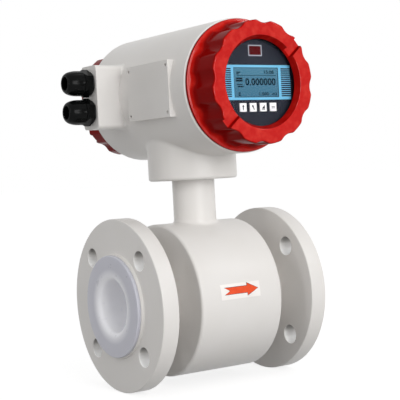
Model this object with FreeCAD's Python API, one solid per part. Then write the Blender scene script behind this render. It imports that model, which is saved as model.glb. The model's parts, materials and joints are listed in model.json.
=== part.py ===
import FreeCAD, Part
import math
import os
from FreeCAD import Placement, Rotation, Vector

# Electromagnetic flow meter, compact version: a flanged, lined measuring pipe with its
# magnet coils in a round housing, and a two-compartment converter on a neck above it.
# Millimetres.  The origin is on the pipe axis, midway between the flange faces.
# +X is the flow direction, the display faces -Y, and +Z is up.

# ---- Pipe run: nominal bore 50, pressure class PN16 ----
LAY_LENGTH = 200.0          # between the two sealing faces
BORE_D = 50.0               # inside of the liner
LINER_WALL = 3.0
LINER_FLARE_T = 3.2         # liner turned out over the flange face
LINER_FLARE_D = 96.8
LINER_LIP_R = 5.0           # rounding where the flare turns into the bore
TUBE_WALL = 2.15
FLANGE_D = 165.0
FLANGE_T = 17.0             # without the raised face
FLANGE_CHAMFER = 1.0
FLANGE_WELD = 4.0           # fillet between the pipe and the flange's back
RAISED_FACE_D = 99.0
RAISED_FACE_H = 3.0
BOLT_CIRCLE_D = 125.0
BOLT_HOLE_D = 18.0
BOLT_COUNT = 4

# ---- Coil housing ----
HOUSING_D = 147.8
HOUSING_LENGTH = 93.0
HOUSING_WALL = 3.0
HOUSING_CHAMFER = 1.2
END_PLATE_T = 4.0

# ---- Magnet system ----
SHOE_T = 4.0
SHOE_WIDTH = 44.0           # across the pipe
SHOE_LENGTH = 50.0          # along the pipe
CORE_D = 20.0
COIL_WALL = 14.0
COIL_CLEARANCE = 0.4        # winding to its core and to the shoe
COIL_TOP_GAP = 2.7          # winding's upper edge to the yoke
YOKE_T = 2.5
YOKE_WIDTH = 40.0
YOKE_CLEARANCE = 8.0        # yoke to the inside of the housing
YOKE_SCREW_D = 6.0
YOKE_SCREW_LENGTH = 14.0
YOKE_SCREW_HEAD_D = 10.0
YOKE_SCREW_HEAD_H = 3.0

# ---- Electrodes ----
ELECTRODE_HEAD_D = 10.0
ELECTRODE_HEAD_T = 1.5
ELECTRODE_RECESS = 0.3      # head below the bore surface
ELECTRODE_STEM_D = 5.0
ELECTRODE_LENGTH = 22.0
BUSH_D = 14.0
BUSH_H = 6.0
ELECTRODE_NUT_AF = 8.0
ELECTRODE_NUT_H = 4.0

# ---- Neck ----
NECK_D = 42.0
NECK_WALL = 3.0
NECK_SOCKET_DEPTH = 20.0
NECK_FIT = 0.1              # radial, neck in its socket
NECK_SEAL_T = 1.5
SET_SCREW_D = 6.0
SET_SCREW_RECESS = 6.0
LEAD_D = 6.0
LEAD_OFFSET_X = 10.0

# ---- Flow direction label ----
LABEL_LENGTH = 45.0
LABEL_WIDTH = 14.5
LABEL_T = 0.3
LABEL_X = -2.0
LABEL_TILT = 7.5            # degrees above the pipe's mid-height

# ---- Converter casting ----
CONVERTER_AXIS_Z = 200.4
CONVERTER_D = 125.0
CONVERTER_LENGTH = 176.0
CONVERTER_EDGE = 1.0
MOUTH_WALL = 5.5            # round the lid threads and both compartments
PARTITION_Y = 22.0          # front face of the wall between the compartments
PARTITION_T = 6.0
WIRE_HOLE_D = 12.0
WIRE_HOLE_DROP = 44.0       # below the converter axis
PEDESTAL_D = 87.6
PEDESTAL_FLOOR_Z = 115.3
PEDESTAL_EDGE_R = 3.0
PASSAGE_D = 32.0
PAD_LENGTH = 73.0
PAD_HEIGHT = 52.0
PAD_RISE = 1.5              # above the crown of the barrel
PAD_Y = -27.5
PAD_HOLE_D = 3.0
PAD_HOLE_DEPTH = 5.0
PAD_HOLE_EDGE_Y = 3.7       # hole centre to the pad's end
PAD_HOLE_EDGE_Z = 4.5

# ---- Cable entries ----
GLAND_BLOCK_REACH = 24.5    # beyond the barrel
GLAND_BLOCK_WIDTH = 29.0
GLAND_BLOCK_HEIGHT = 62.0
GLAND_BLOCK_Y = 43.0
GLAND_BLOCK_EDGE_R = 4.0
GLAND_PITCH = 28.0
GLAND_THREAD_D = 20.0
GLAND_THREAD_FIT = 0.05
GLAND_SPIGOT_LENGTH = 12.0
GLAND_GASKET_T = 1.5
GLAND_GASKET_D = 23.0
GLAND_COLLAR_AF = 23.5
GLAND_COLLAR_LENGTH = 8.0
GLAND_NUT_D = 24.5
GLAND_NUT_LENGTH = 17.2
GLAND_NUT_WALL = 1.9
GLAND_NUT_END_T = 6.0
GLAND_NUT_FLAT_D = 14.5     # flat end of the dome
GLAND_DOME_LENGTH = 10.0
GLAND_SLEEVE_LENGTH = 9.5
GLAND_SEAL_D = 16.2
GLAND_SEAL_BORE_D = 12.0
GLAND_SEAL_LENGTH = 9.2
GLAND_SEAL_SEAT = 1.5       # seal's seat beyond the collar
GLAND_THROAT_GAP = 0.4      # body bore over the seal bore, radial

# ---- Screw lids ----
LID_DEPTH = 35.3
LID_SHOULDER = 1.0          # rim of the casting outside the lid's base
LID_BASE_T = 3.0
LID_FLARE_RISE = 5.3        # base outside the barrel of the lid
LID_FLARE_LENGTH = 8.0
LID_EDGE_R = 1.5
LID_SKIRT_LENGTH = 10.0
LID_SKIRT_WALL = 7.2
LID_CROWN_T = 5.3           # end wall of the blind lid
LID_RECESS = 1.5            # dished centre of the blind lid
SCALLOP_COUNT = 12
SCALLOP_DEPTH = 2.6
SCALLOP_CUTTER_D = 28.0
SCALLOP_RUN_OUT = 5.0
SLOT_ANGLE = 41.0           # spanner slots, degrees from +X towards +Z
SLOT_WIDTH = 9.0
SLOT_DEPTH = 4.0
WINDOW_RING = 14.0          # front ring of the lid, from its barrel to the window
WINDOW_TAPER = 3.0          # window closer at the back of its lip
WINDOW_LIP_T = 6.0
GLASS_LEDGE = 3.0           # lid cavity outside the glass
GLASS_T = 3.5
GLASS_FIT = 0.2
GLASS_GASKET_T = 0.8
GLASS_GASKET_WIDTH = 6.1
RETAINER_T = 1.0
RETAINER_WIDTH = 2.7        # glass edge covered by the retaining ring
RETAINER_BITE = 0.8         # retaining ring into its groove
LID_SEAL_T = 1.9
LID_SEAL_WIDTH = 2.2

# ---- Display and boards ----
PANEL_EDGE_GAP = 4.5        # round the panel in the lid's cavity
PANEL_T = 2.0
PANEL_GAP = 0.3             # panel behind the glass retaining ring
BEZEL_WIDTH = 78.0
BEZEL_HEIGHT = 31.5
BEZEL_RISE = 0.5            # bezel and display above the converter axis
LCD_WIDTH = 50.4
LCD_HEIGHT = 27.0
LCD_RECESS = 0.4
LCD_MODULE_WIDTH = 60.0
LCD_MODULE_HEIGHT = 34.0
INFRARED_WIDTH = 14.8
INFRARED_HEIGHT = 8.6
INFRARED_EDGE = 15.6        # sensor's middle to the panel's edge
INFRARED_DEPTH = 4.0
KEY_COUNT = 4
KEY_WIDTH = 7.4
KEY_HEIGHT = 7.7
KEY_PITCH = 11.3
KEY_DROP = 22.0
KEY_PROUD = 0.8
KEY_DEPTH = 3.4
KEY_STEM_D = 3.0
KEY_TRAVEL = 0.5
SWITCH_SIZE = 6.0
SWITCH_BODY_H = 3.5
SWITCH_PLUNGER_D = 3.4
CARRIER_WALL = 2.5
CARRIER_H = 8.0
BOARD_T = 1.6
DISPLAY_BOARD_EDGE_GAP = 3.5    # round the display board in the lid's cavity
MAIN_BOARD_EDGE_GAP = 5.0   # round the main boards in the casting
MIDDLE_STANDOFF = 48.0
REAR_STANDOFF = 22.8        # power board to the partition
STANDOFF_AF = 5.5
STANDOFF_EDGE = 8.0         # standoff's axis to the display board's edge
SCREW_D = 3.0
SCREW_HEAD_D = 5.5
SCREW_HEAD_H = 2.0
SCREW_BITE = 5.0
TERMINAL_BOARD_WIDTH = 80.0
TERMINAL_BOARD_HEIGHT = 60.0
TERMINAL_POST = 5.0
TERMINAL_POST_D = 6.0
TERMINAL_POST_EDGE = 6.0
TERMINAL_BLOCK_WIDTH = 60.0
TERMINAL_BLOCK_SIZE = 12.0
TERMINAL_ROW_PITCH = 28.0
TERMINAL_POLES = 6
TERMINAL_SCREW_D = 5.0
TERMINAL_SCREW_H = 1.0
TERMINAL_WIRE_D = 4.0

CLEARANCE = 0.3             # between pieces that move past each other

# ---- Worked-out places ----
BORE_R = BORE_D / 2
TUBE_IN_R = BORE_R + LINER_WALL
TUBE_R = TUBE_IN_R + TUBE_WALL
END_X = LAY_LENGTH / 2
TUBE_END_X = END_X - LINER_FLARE_T
FLANGE_FRONT_X = TUBE_END_X - RAISED_FACE_H
FLANGE_BACK_X = FLANGE_FRONT_X - FLANGE_T
HOUSING_R = HOUSING_D / 2
HOUSING_IN_R = HOUSING_R - HOUSING_WALL
YOKE_R = HOUSING_IN_R - YOKE_CLEARANCE
YOKE_IN_R = YOKE_R - YOKE_T
NECK_R = NECK_D / 2
NECK_TOP_Z = PEDESTAL_FLOOR_Z + NECK_SOCKET_DEPTH - NECK_SEAL_T
CONVERTER_R = CONVERTER_D / 2
RIM_Y = CONVERTER_LENGTH / 2
MOUTH_D = CONVERTER_D - 2 * MOUTH_WALL
MOUTH_R = MOUTH_D / 2
GLAND_FACE_X = CONVERTER_R + GLAND_BLOCK_REACH
GLAND_SLEEVE_END = GLAND_GASKET_T + GLAND_COLLAR_LENGTH + GLAND_SLEEVE_LENGTH
GLAND_NUT_START = GLAND_GASKET_T + GLAND_COLLAR_LENGTH + CLEARANCE
GLAND_NUT_END = GLAND_NUT_START + GLAND_NUT_LENGTH
GLAND_SEAL_START = GLAND_GASKET_T + GLAND_COLLAR_LENGTH + GLAND_SEAL_SEAT + CLEARANCE
LID_BASE_R = CONVERTER_R - LID_SHOULDER
LID_BARREL_R = LID_BASE_R - LID_FLARE_RISE
LID_SKIRT_R = MOUTH_R - CLEARANCE
LID_GROOVE_R = LID_SKIRT_R - LID_SEAL_T - CLEARANCE
LID_CAVITY_R = LID_SKIRT_R - LID_SKIRT_WALL
WINDOW_FRONT_R = LID_BARREL_R - WINDOW_RING
WINDOW_BACK_R = WINDOW_FRONT_R - WINDOW_TAPER
GASKET_FRONT = LID_DEPTH - WINDOW_LIP_T
GLASS_FRONT = GASKET_FRONT - GLASS_GASKET_T
GLASS_BACK = GLASS_FRONT - GLASS_T
RETAINER_BACK = GLASS_BACK - RETAINER_T
GLASS_SEAT_R = LID_CAVITY_R - GLASS_LEDGE
GLASS_D = 2 * (GLASS_SEAT_R - GLASS_FIT)
PANEL_D = 2 * (LID_CAVITY_R - PANEL_EDGE_GAP)
INFRARED_RISE = PANEL_D / 2 - INFRARED_EDGE
DISPLAY_BOARD_D = 2 * (LID_CAVITY_R - DISPLAY_BOARD_EDGE_GAP)
MAIN_BOARD_D = 2 * (MOUTH_R - MAIN_BOARD_EDGE_GAP)
PANEL_FRONT_Y = -(RIM_Y + RETAINER_BACK - PANEL_GAP)
PANEL_BACK_Y = PANEL_FRONT_Y + PANEL_T
DISPLAY_BOARD_Y = PANEL_BACK_Y + CARRIER_H
POWER_BOARD_Y = PARTITION_Y - REAR_STANDOFF - BOARD_T
MAIN_BOARD_Y = POWER_BOARD_Y - MIDDLE_STANDOFF - BOARD_T
FRONT_STANDOFF = MAIN_BOARD_Y - DISPLAY_BOARD_Y - BOARD_T
TERMINAL_BOARD_Y = PARTITION_Y + PARTITION_T + TERMINAL_POST

X_AXIS, Y_AXIS, Z_AXIS = Vector(1, 0, 0), Vector(0, 1, 0), Vector(0, 0, 1)


# ---- Building blocks ----
def rod(diameter, length, start, axis):
    """A round bar from start along axis."""
    return Part.makeCylinder(diameter / 2, length, start, axis)


def ring(outer_d, inner_d, length, start, axis):
    """A plain tube from start along axis."""
    return rod(outer_d, length, start, axis).cut(rod(inner_d, length, start, axis))


def block(size, centre):
    """A box of a size about a centre."""
    corner = centre - Vector(size.x / 2, size.y / 2, size.z / 2)
    return Part.makeBox(size.x, size.y, size.z, corner)


def hexagon(across_flats, length, start, axis):
    """A six-sided bar from start along axis."""
    corner_r = across_flats / math.sqrt(3)
    corners = [Vector(corner_r * math.cos(math.radians(60 * k)),
                      corner_r * math.sin(math.radians(60 * k)), 0) for k in range(7)]
    bar = Part.Face(Part.makePolygon(corners)).extrude(Z_AXIS * length)
    bar.Placement = Placement(start, Rotation(Z_AXIS, axis))
    return bar


def joined(shapes):
    """Several overlapping solids as one."""
    return shapes[0].multiFuse(shapes[1:]).removeSplitter()


def at_converter(x, y, rise):
    """A point given from the converter's axis."""
    return Vector(x, y, CONVERTER_AXIS_Z + rise)


def on_circle(diameter, count, first_angle):
    """Pairs of coordinates evenly spaced on a circle; angles in degrees."""
    angles = [math.radians(first_angle + 360 / count * k) for k in range(count)]
    return [(diameter / 2 * math.cos(a), diameter / 2 * math.sin(a)) for a in angles]


class Section:
    """A half section, drawn as distance along an axis and radius from it, and turned."""

    def __init__(self, along, radius):
        self.points = [Vector(along, radius, 0)]
        self.edges = []

    def line(self, along, radius):
        self.edges.append(Part.makeLine(self.points[-1], Vector(along, radius, 0)))
        self.points.append(Vector(along, radius, 0))
        return self

    def arc(self, middle, end):
        curve = Part.Arc(self.points[-1], Vector(*middle, 0), Vector(*end, 0))
        self.edges.append(curve.toShape())
        self.points.append(Vector(*end, 0))
        return self

    def quarter(self, along, radius, bulge_along, bulge_radius):
        """A quarter round to a point; the bulge is the corner that it rounds off."""
        start = self.points[-1]
        pull = math.sqrt(2) - 1
        chord_along, chord_radius = (start.x + along) / 2, (start.y + radius) / 2
        middle = (chord_along + (bulge_along - chord_along) * pull,
                  chord_radius + (bulge_radius - chord_radius) * pull)
        return self.arc(middle, (along, radius))

    def turned(self, origin, axis):
        first, last = self.points[0], self.points[-1]
        edges = self.edges + [Part.makeLine(last, first)]
        solid = Part.Face(Part.Wire(edges)).revolve(Vector(0, 0, 0), X_AXIS, 360)
        solid.Placement = Placement(origin, Rotation(X_AXIS, axis))
        return solid


# ---- Pipe run ----
def flange(side):
    """A slip-on flange with raised face and bolt holes."""
    rim_r = FLANGE_D / 2
    section = Section(FLANGE_BACK_X, TUBE_R).line(FLANGE_BACK_X, rim_r - FLANGE_CHAMFER)
    section.line(FLANGE_BACK_X + FLANGE_CHAMFER, rim_r)
    section.line(FLANGE_FRONT_X - FLANGE_CHAMFER, rim_r)
    section.line(FLANGE_FRONT_X, rim_r - FLANGE_CHAMFER)
    section.line(FLANGE_FRONT_X, RAISED_FACE_D / 2)
    section.line(TUBE_END_X, RAISED_FACE_D / 2)
    section.line(TUBE_END_X, TUBE_R)
    disc = section.turned(Vector(), X_AXIS * side)
    holes = [rod(BOLT_HOLE_D, FLANGE_T, Vector(side * FLANGE_BACK_X, y, z), X_AXIS * side)
             for y, z in on_circle(BOLT_CIRCLE_D, BOLT_COUNT, 180 / BOLT_COUNT)]
    return disc.cut(holes)


def measuring_tube():
    """The non-magnetic pipe, with the weld fillets behind its flanges and the electrode holes."""
    section = Section(-TUBE_END_X, TUBE_IN_R).line(-TUBE_END_X, TUBE_R)
    section.line(-FLANGE_BACK_X, TUBE_R).line(-FLANGE_BACK_X, TUBE_R + FLANGE_WELD)
    section.line(FLANGE_WELD - FLANGE_BACK_X, TUBE_R).line(FLANGE_BACK_X - FLANGE_WELD, TUBE_R)
    section.line(FLANGE_BACK_X, TUBE_R + FLANGE_WELD).line(FLANGE_BACK_X, TUBE_R)
    section.line(TUBE_END_X, TUBE_R).line(TUBE_END_X, TUBE_IN_R)
    electrode_hole = rod(ELECTRODE_STEM_D, 4 * TUBE_R, Vector(0, -2 * TUBE_R, 0), Y_AXIS)
    return section.turned(Vector(), X_AXIS).cut(electrode_hole)


def liner():
    """The plastic lining: a tube whose ends turn out over both raised faces."""
    lip_r, flare_r = BORE_R + LINER_LIP_R, LINER_FLARE_D / 2
    section = Section(-END_X, lip_r)
    section.quarter(-END_X + LINER_LIP_R, BORE_R, -END_X, BORE_R)
    section.line(END_X - LINER_LIP_R, BORE_R)
    section.quarter(END_X, lip_r, END_X, BORE_R)
    section.line(END_X, flare_r).line(TUBE_END_X, flare_r)
    section.line(TUBE_END_X, TUBE_IN_R).line(-TUBE_END_X, TUBE_IN_R)
    section.line(-TUBE_END_X, flare_r).line(-END_X, flare_r)
    head_y = BORE_R + ELECTRODE_RECESS + ELECTRODE_HEAD_T
    pocket = rod(ELECTRODE_HEAD_D, 2 * head_y, Vector(0, -head_y, 0), Y_AXIS)
    stem = rod(ELECTRODE_STEM_D, 4 * TUBE_R, Vector(0, -2 * TUBE_R, 0), Y_AXIS)
    return section.turned(Vector(), X_AXIS).cut([pocket, stem])


def electrode(side):
    """A measuring electrode: a flat head towards the liquid and a stem to the outside."""
    start = BORE_R + ELECTRODE_RECESS
    head = rod(ELECTRODE_HEAD_D, ELECTRODE_HEAD_T, Vector(0, side * start, 0), Y_AXIS * side)
    stem = rod(ELECTRODE_STEM_D, ELECTRODE_LENGTH, Vector(0, side * start, 0), Y_AXIS * side)
    return joined([head, stem])


def electrode_bush(side):
    """An insulating bush round the electrode stem, shaped to the pipe."""
    bush = ring(BUSH_D, ELECTRODE_STEM_D, TUBE_R + BUSH_H, Vector(), Y_AXIS * side)
    return bush.cut(rod(2 * TUBE_R, BUSH_D, Vector(-BUSH_D / 2, 0, 0), X_AXIS))


def electrode_nut(side):
    """The nut that pulls the electrode head into the liner."""
    start = Vector(0, side * (TUBE_R + BUSH_H), 0)
    nut = hexagon(ELECTRODE_NUT_AF, ELECTRODE_NUT_H, start, Y_AXIS * side)
    return nut.cut(rod(ELECTRODE_STEM_D, ELECTRODE_NUT_H, start, Y_AXIS * side))


# ---- Coil housing ----
def coil_housing():
    """The round sheet housing, open above for the neck."""
    half, edge = HOUSING_LENGTH / 2, HOUSING_CHAMFER
    section = Section(-half, HOUSING_IN_R)
    section.line(-half, HOUSING_R - edge).line(-half + edge, HOUSING_R)
    section.line(half - edge, HOUSING_R).line(half, HOUSING_R - edge)
    section.line(half, HOUSING_IN_R)
    opening = rod(NECK_D - 2 * NECK_WALL, HOUSING_D, Vector(), Z_AXIS)
    return section.turned(Vector(), X_AXIS).cut(opening)


def end_plate(side):
    """The annular plate that closes one end of the coil housing."""
    start = Vector(side * (HOUSING_LENGTH / 2 - END_PLATE_T), 0, 0)
    return ring(2 * HOUSING_IN_R, 2 * TUBE_R, END_PLATE_T, start, X_AXIS * side)


def pole_piece():
    """The upper pole: a shoe curved to the pipe with a round core up to the yoke."""
    shoe = ring(2 * (TUBE_R + SHOE_T), 2 * TUBE_R, SHOE_LENGTH, Vector(-SHOE_LENGTH / 2, 0, 0), X_AXIS)
    shoe = shoe.common(block(Vector(SHOE_LENGTH, SHOE_WIDTH, 2 * TUBE_R), Vector(0, 0, 1.5 * TUBE_R)))
    core = rod(CORE_D, YOKE_R, Vector(), Z_AXIS)
    core = core.cut(rod(2 * TUBE_R, SHOE_LENGTH, Vector(-SHOE_LENGTH / 2, 0, 0), X_AXIS))
    core = core.common(rod(2 * YOKE_IN_R, YOKE_WIDTH, Vector(-YOKE_WIDTH / 2, 0, 0), X_AXIS))
    return joined([shoe, core]).cut(yoke_screw_shank())


def coil():
    """The upper winding, round the core and standing on the shoe."""
    start = Vector(0, 0, TUBE_R + SHOE_T + COIL_CLEARANCE)
    bore_d = CORE_D + 2 * COIL_CLEARANCE
    winding_r = bore_d / 2 + COIL_WALL
    height = math.sqrt(YOKE_IN_R ** 2 - winding_r ** 2) - COIL_TOP_GAP - start.z
    return ring(2 * winding_r, bore_d, height, start, Z_AXIS)


def return_yoke():
    """The steel band that carries the field round outside the coils."""
    start = Vector(-YOKE_WIDTH / 2, 0, 0)
    band = ring(2 * YOKE_R, 2 * YOKE_IN_R, YOKE_WIDTH, start, X_AXIS)
    return band.cut(rod(YOKE_SCREW_D, 4 * YOKE_R, Vector(0, 0, -2 * YOKE_R), Z_AXIS))


def yoke_screw_shank():
    start = Vector(0, 0, YOKE_R - YOKE_SCREW_LENGTH)
    return rod(YOKE_SCREW_D, YOKE_SCREW_LENGTH, start, Z_AXIS)


def yoke_screw():
    """The screw through the yoke into the upper core."""
    head = rod(YOKE_SCREW_HEAD_D, YOKE_SCREW_HEAD_H, Vector(0, 0, YOKE_R), Z_AXIS)
    return joined([yoke_screw_shank(), head])


def below(shape):
    """The same piece on the underside of the pipe."""
    copy = shape.copy()
    copy.rotate(Vector(), X_AXIS, 180)
    return copy


def flow_label():
    """A thin plate wrapped on the front of the coil housing, under the flow arrow."""
    start = Vector(LABEL_X - LABEL_LENGTH / 2, 0, 0)
    skin = ring(HOUSING_D + 2 * LABEL_T, HOUSING_D, LABEL_LENGTH, start, X_AXIS)
    window = block(Vector(LABEL_LENGTH, HOUSING_D, LABEL_WIDTH), Vector(LABEL_X, -HOUSING_D / 2, 0))
    label = skin.common(window)
    label.rotate(Vector(), X_AXIS, -LABEL_TILT)
    return label


# ---- Neck ----
def neck_tube():
    """The tube welded on the coil housing, running up into the converter's socket."""
    tube = ring(NECK_D, NECK_D - 2 * NECK_WALL, NECK_TOP_Z, Vector(), Z_AXIS)
    return tube.cut(rod(HOUSING_D, HOUSING_LENGTH, Vector(-HOUSING_LENGTH / 2, 0, 0), X_AXIS))


def neck_seal():
    """The flat ring between the neck's end and the bottom of its socket."""
    return ring(NECK_D, NECK_D - 2 * NECK_WALL, NECK_SEAL_T, Vector(0, 0, NECK_TOP_Z), Z_AXIS)


def neck_set_screw():
    """The grub screw at the back that locks the converter on the neck."""
    length = PEDESTAL_D / 2 - NECK_R - SET_SCREW_RECESS
    start = Vector(0, NECK_R, PEDESTAL_FLOOR_Z + NECK_SOCKET_DEPTH / 2)
    screw = rod(SET_SCREW_D, length, start, Y_AXIS)
    socket_start = start + Y_AXIS * (length - SET_SCREW_D / 2)
    return screw.cut(hexagon(SET_SCREW_D / 2, SET_SCREW_D / 2, socket_start, Y_AXIS))


def signal_lead():
    """The bundle of coil and electrode wires, straight up the neck to the power board."""
    y = POWER_BOARD_Y + BOARD_T / 2
    bottom = YOKE_R
    board_r = MAIN_BOARD_D / 2
    reach = math.sqrt(board_r ** 2 - (LEAD_OFFSET_X - LEAD_D / 2) ** 2)
    top = CONVERTER_AXIS_Z - reach
    return rod(LEAD_D, top - bottom, Vector(LEAD_OFFSET_X, y, bottom), Z_AXIS)


# ---- Converter casting ----
def barrel():
    """The outside of the casting's barrel, with broken edges at both rims."""
    section = Section(-RIM_Y, 0)
    section.line(-RIM_Y, CONVERTER_R - CONVERTER_EDGE)
    section.line(-RIM_Y + CONVERTER_EDGE, CONVERTER_R)
    section.line(RIM_Y - CONVERTER_EDGE, CONVERTER_R)
    section.line(RIM_Y, CONVERTER_R - CONVERTER_EDGE).line(RIM_Y, 0)
    return section.turned(at_converter(0, 0, 0), Y_AXIS)


def pedestal():
    """The round foot of the casting, with its lower edge rounded."""
    foot_r, round_r = PEDESTAL_D / 2, PEDESTAL_EDGE_R
    section = Section(PEDESTAL_FLOOR_Z, 0).line(PEDESTAL_FLOOR_Z, foot_r - round_r)
    section.quarter(PEDESTAL_FLOOR_Z + round_r, foot_r, PEDESTAL_FLOOR_Z, foot_r)
    section.line(CONVERTER_AXIS_Z, foot_r).line(CONVERTER_AXIS_Z, 0)
    return section.turned(Vector(), Z_AXIS)


def gland_block():
    """The boss at the back that takes the two cable entries side by side."""
    size = Vector(GLAND_FACE_X, GLAND_BLOCK_WIDTH, GLAND_BLOCK_HEIGHT)
    boss = block(size, at_converter(-GLAND_FACE_X / 2, GLAND_BLOCK_Y, 0))
    long_edges = [edge for edge in boss.Edges
                  if abs(edge.Vertexes[0].X - edge.Vertexes[1].X) > GLAND_FACE_X / 2]
    return boss.makeFillet(GLAND_BLOCK_EDGE_R, long_edges)


def nameplate_pad():
    """The flat raised pad on the side of the barrel."""
    depth = CONVERTER_R + PAD_RISE
    return block(Vector(depth, PAD_LENGTH, PAD_HEIGHT), at_converter(-depth / 2, PAD_Y, 0))


def pad_holes():
    """Four blind holes near the pad's corners."""
    reach_y = PAD_LENGTH / 2 - PAD_HOLE_EDGE_Y
    reach_z = PAD_HEIGHT / 2 - PAD_HOLE_EDGE_Z
    face_x = -(CONVERTER_R + PAD_RISE)
    return [rod(PAD_HOLE_D, PAD_HOLE_DEPTH, at_converter(face_x, PAD_Y + i * reach_y, j * reach_z), X_AXIS)
            for i in (-1, 1) for j in (-1, 1)]


def gland_places():
    """The centres of the two cable entries on the face of their boss, upper first."""
    return [at_converter(-GLAND_FACE_X, GLAND_BLOCK_Y, side * GLAND_PITCH / 2) for side in (1, -1)]


def converter_housing():
    """The one-piece casting: barrel, partition, foot, cable boss and nameplate pad."""
    casting = joined([barrel(), pedestal(), gland_block(), nameplate_pad()])
    rear_y = PARTITION_Y + PARTITION_T
    front_room = rod(MOUTH_D, RIM_Y + PARTITION_Y, at_converter(0, -RIM_Y, 0), Y_AXIS)
    rear_room = rod(MOUTH_D, RIM_Y - rear_y, at_converter(0, rear_y, 0), Y_AXIS)
    socket = rod(NECK_D + 2 * NECK_FIT, NECK_SOCKET_DEPTH, Vector(0, 0, PEDESTAL_FLOOR_Z), Z_AXIS)
    passage_height = CONVERTER_AXIS_Z - MOUTH_R / 2 - PEDESTAL_FLOOR_Z
    passage = rod(PASSAGE_D, passage_height, Vector(0, 0, PEDESTAL_FLOOR_Z), Z_AXIS)
    wire_hole = rod(WIRE_HOLE_D, PARTITION_T, at_converter(0, PARTITION_Y, -WIRE_HOLE_DROP), Y_AXIS)
    entries = [rod(GLAND_THREAD_D + 2 * GLAND_THREAD_FIT, GLAND_FACE_X - MOUTH_R / 2, place, X_AXIS)
               for place in gland_places()]
    set_screw_z = PEDESTAL_FLOOR_Z + NECK_SOCKET_DEPTH / 2
    screw_hole = rod(SET_SCREW_D, PEDESTAL_D / 2, Vector(0, 0, set_screw_z), Y_AXIS)
    rooms = [front_room, rear_room, socket, passage, wire_hole, screw_hole]
    return casting.cut(rooms + entries + pad_holes())


# ---- Cable glands ----
def gland_gasket(place):
    """The flat ring under the gland's collar."""
    return ring(GLAND_GASKET_D, GLAND_THREAD_D, GLAND_GASKET_T, place, -X_AXIS)


def gland_body(place):
    """Spigot into the casting, six-sided collar, and the sleeve that the nut screws on."""
    spigot_start = place + X_AXIS * GLAND_SPIGOT_LENGTH
    spigot = rod(GLAND_THREAD_D, GLAND_SPIGOT_LENGTH + GLAND_GASKET_T, spigot_start, -X_AXIS)
    collar_start = place - X_AXIS * GLAND_GASKET_T
    collar = hexagon(GLAND_COLLAR_AF, GLAND_COLLAR_LENGTH, collar_start, -X_AXIS)
    corner_d = 2 * GLAND_COLLAR_AF / math.sqrt(3)
    broken = Section(GLAND_GASKET_T, 0).line(GLAND_GASKET_T, corner_d / 2)
    broken.line(GLAND_GASKET_T + GLAND_COLLAR_LENGTH - 2, corner_d / 2)
    broken.line(GLAND_GASKET_T + GLAND_COLLAR_LENGTH, GLAND_COLLAR_AF / 2)
    broken.line(GLAND_GASKET_T + GLAND_COLLAR_LENGTH, 0)
    collar = collar.common(broken.turned(place, -X_AXIS))
    sleeve_d = GLAND_NUT_D - 2 * GLAND_NUT_WALL - 2 * CLEARANCE
    sleeve = rod(sleeve_d, GLAND_SLEEVE_END - GLAND_GASKET_T, collar_start, -X_AXIS)
    body = joined([spigot, collar, sleeve])
    throat_d = GLAND_SEAL_BORE_D + 2 * GLAND_THROAT_GAP
    throat = rod(throat_d, 4 * GLAND_NUT_END, spigot_start, -X_AXIS)
    seat_start = place - X_AXIS * (GLAND_SEAL_START - CLEARANCE)
    seat = rod(GLAND_SEAL_D + 2 * CLEARANCE, GLAND_SLEEVE_END, seat_start, -X_AXIS)
    return body.cut([throat, seat])


def gland_seal(place):
    """The rubber sleeve that grips the cable."""
    start = place - X_AXIS * GLAND_SEAL_START
    return ring(GLAND_SEAL_D, GLAND_SEAL_BORE_D, GLAND_SEAL_LENGTH, start, -X_AXIS)


def gland_nut(place):
    """The domed cap nut that squeezes the seal."""
    nut_r, flat_r = GLAND_NUT_D / 2, GLAND_NUT_FLAT_D / 2
    dome_start = GLAND_NUT_END - GLAND_DOME_LENGTH
    exit_r = GLAND_SEAL_BORE_D / 2 + GLAND_THROAT_GAP
    bore_r = nut_r - GLAND_NUT_WALL
    section = Section(GLAND_NUT_START, bore_r).line(GLAND_NUT_START, nut_r)
    section.line(dome_start, nut_r).quarter(GLAND_NUT_END, flat_r, GLAND_NUT_END, nut_r)
    section.line(GLAND_NUT_END, exit_r).line(GLAND_NUT_END - GLAND_NUT_END_T, exit_r)
    section.line(GLAND_NUT_END - GLAND_NUT_END_T, bore_r)
    return section.turned(place, -X_AXIS)


# ---- Screw lids ----
def lid_outline():
    """The lid's outside from its thread to the front edge, as a half section."""
    base_r, round_r = LID_BASE_R, LID_EDGE_R
    flare_end = LID_BASE_T + LID_FLARE_LENGTH
    section = Section(-LID_SKIRT_LENGTH, LID_CAVITY_R).line(-LID_SKIRT_LENGTH, LID_SKIRT_R)
    section.line(CLEARANCE - LID_SEAL_WIDTH - 2 * CLEARANCE, LID_SKIRT_R)
    section.line(CLEARANCE - LID_SEAL_WIDTH - 2 * CLEARANCE, LID_GROOVE_R)
    section.line(CLEARANCE, LID_GROOVE_R).line(CLEARANCE, base_r).line(LID_BASE_T, base_r)
    section.quarter(flare_end, LID_BARREL_R, LID_BASE_T, LID_BARREL_R)
    section.line(LID_DEPTH - round_r, LID_BARREL_R)
    section.quarter(LID_DEPTH, LID_BARREL_R - round_r, LID_DEPTH, LID_BARREL_R)
    return section


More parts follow.
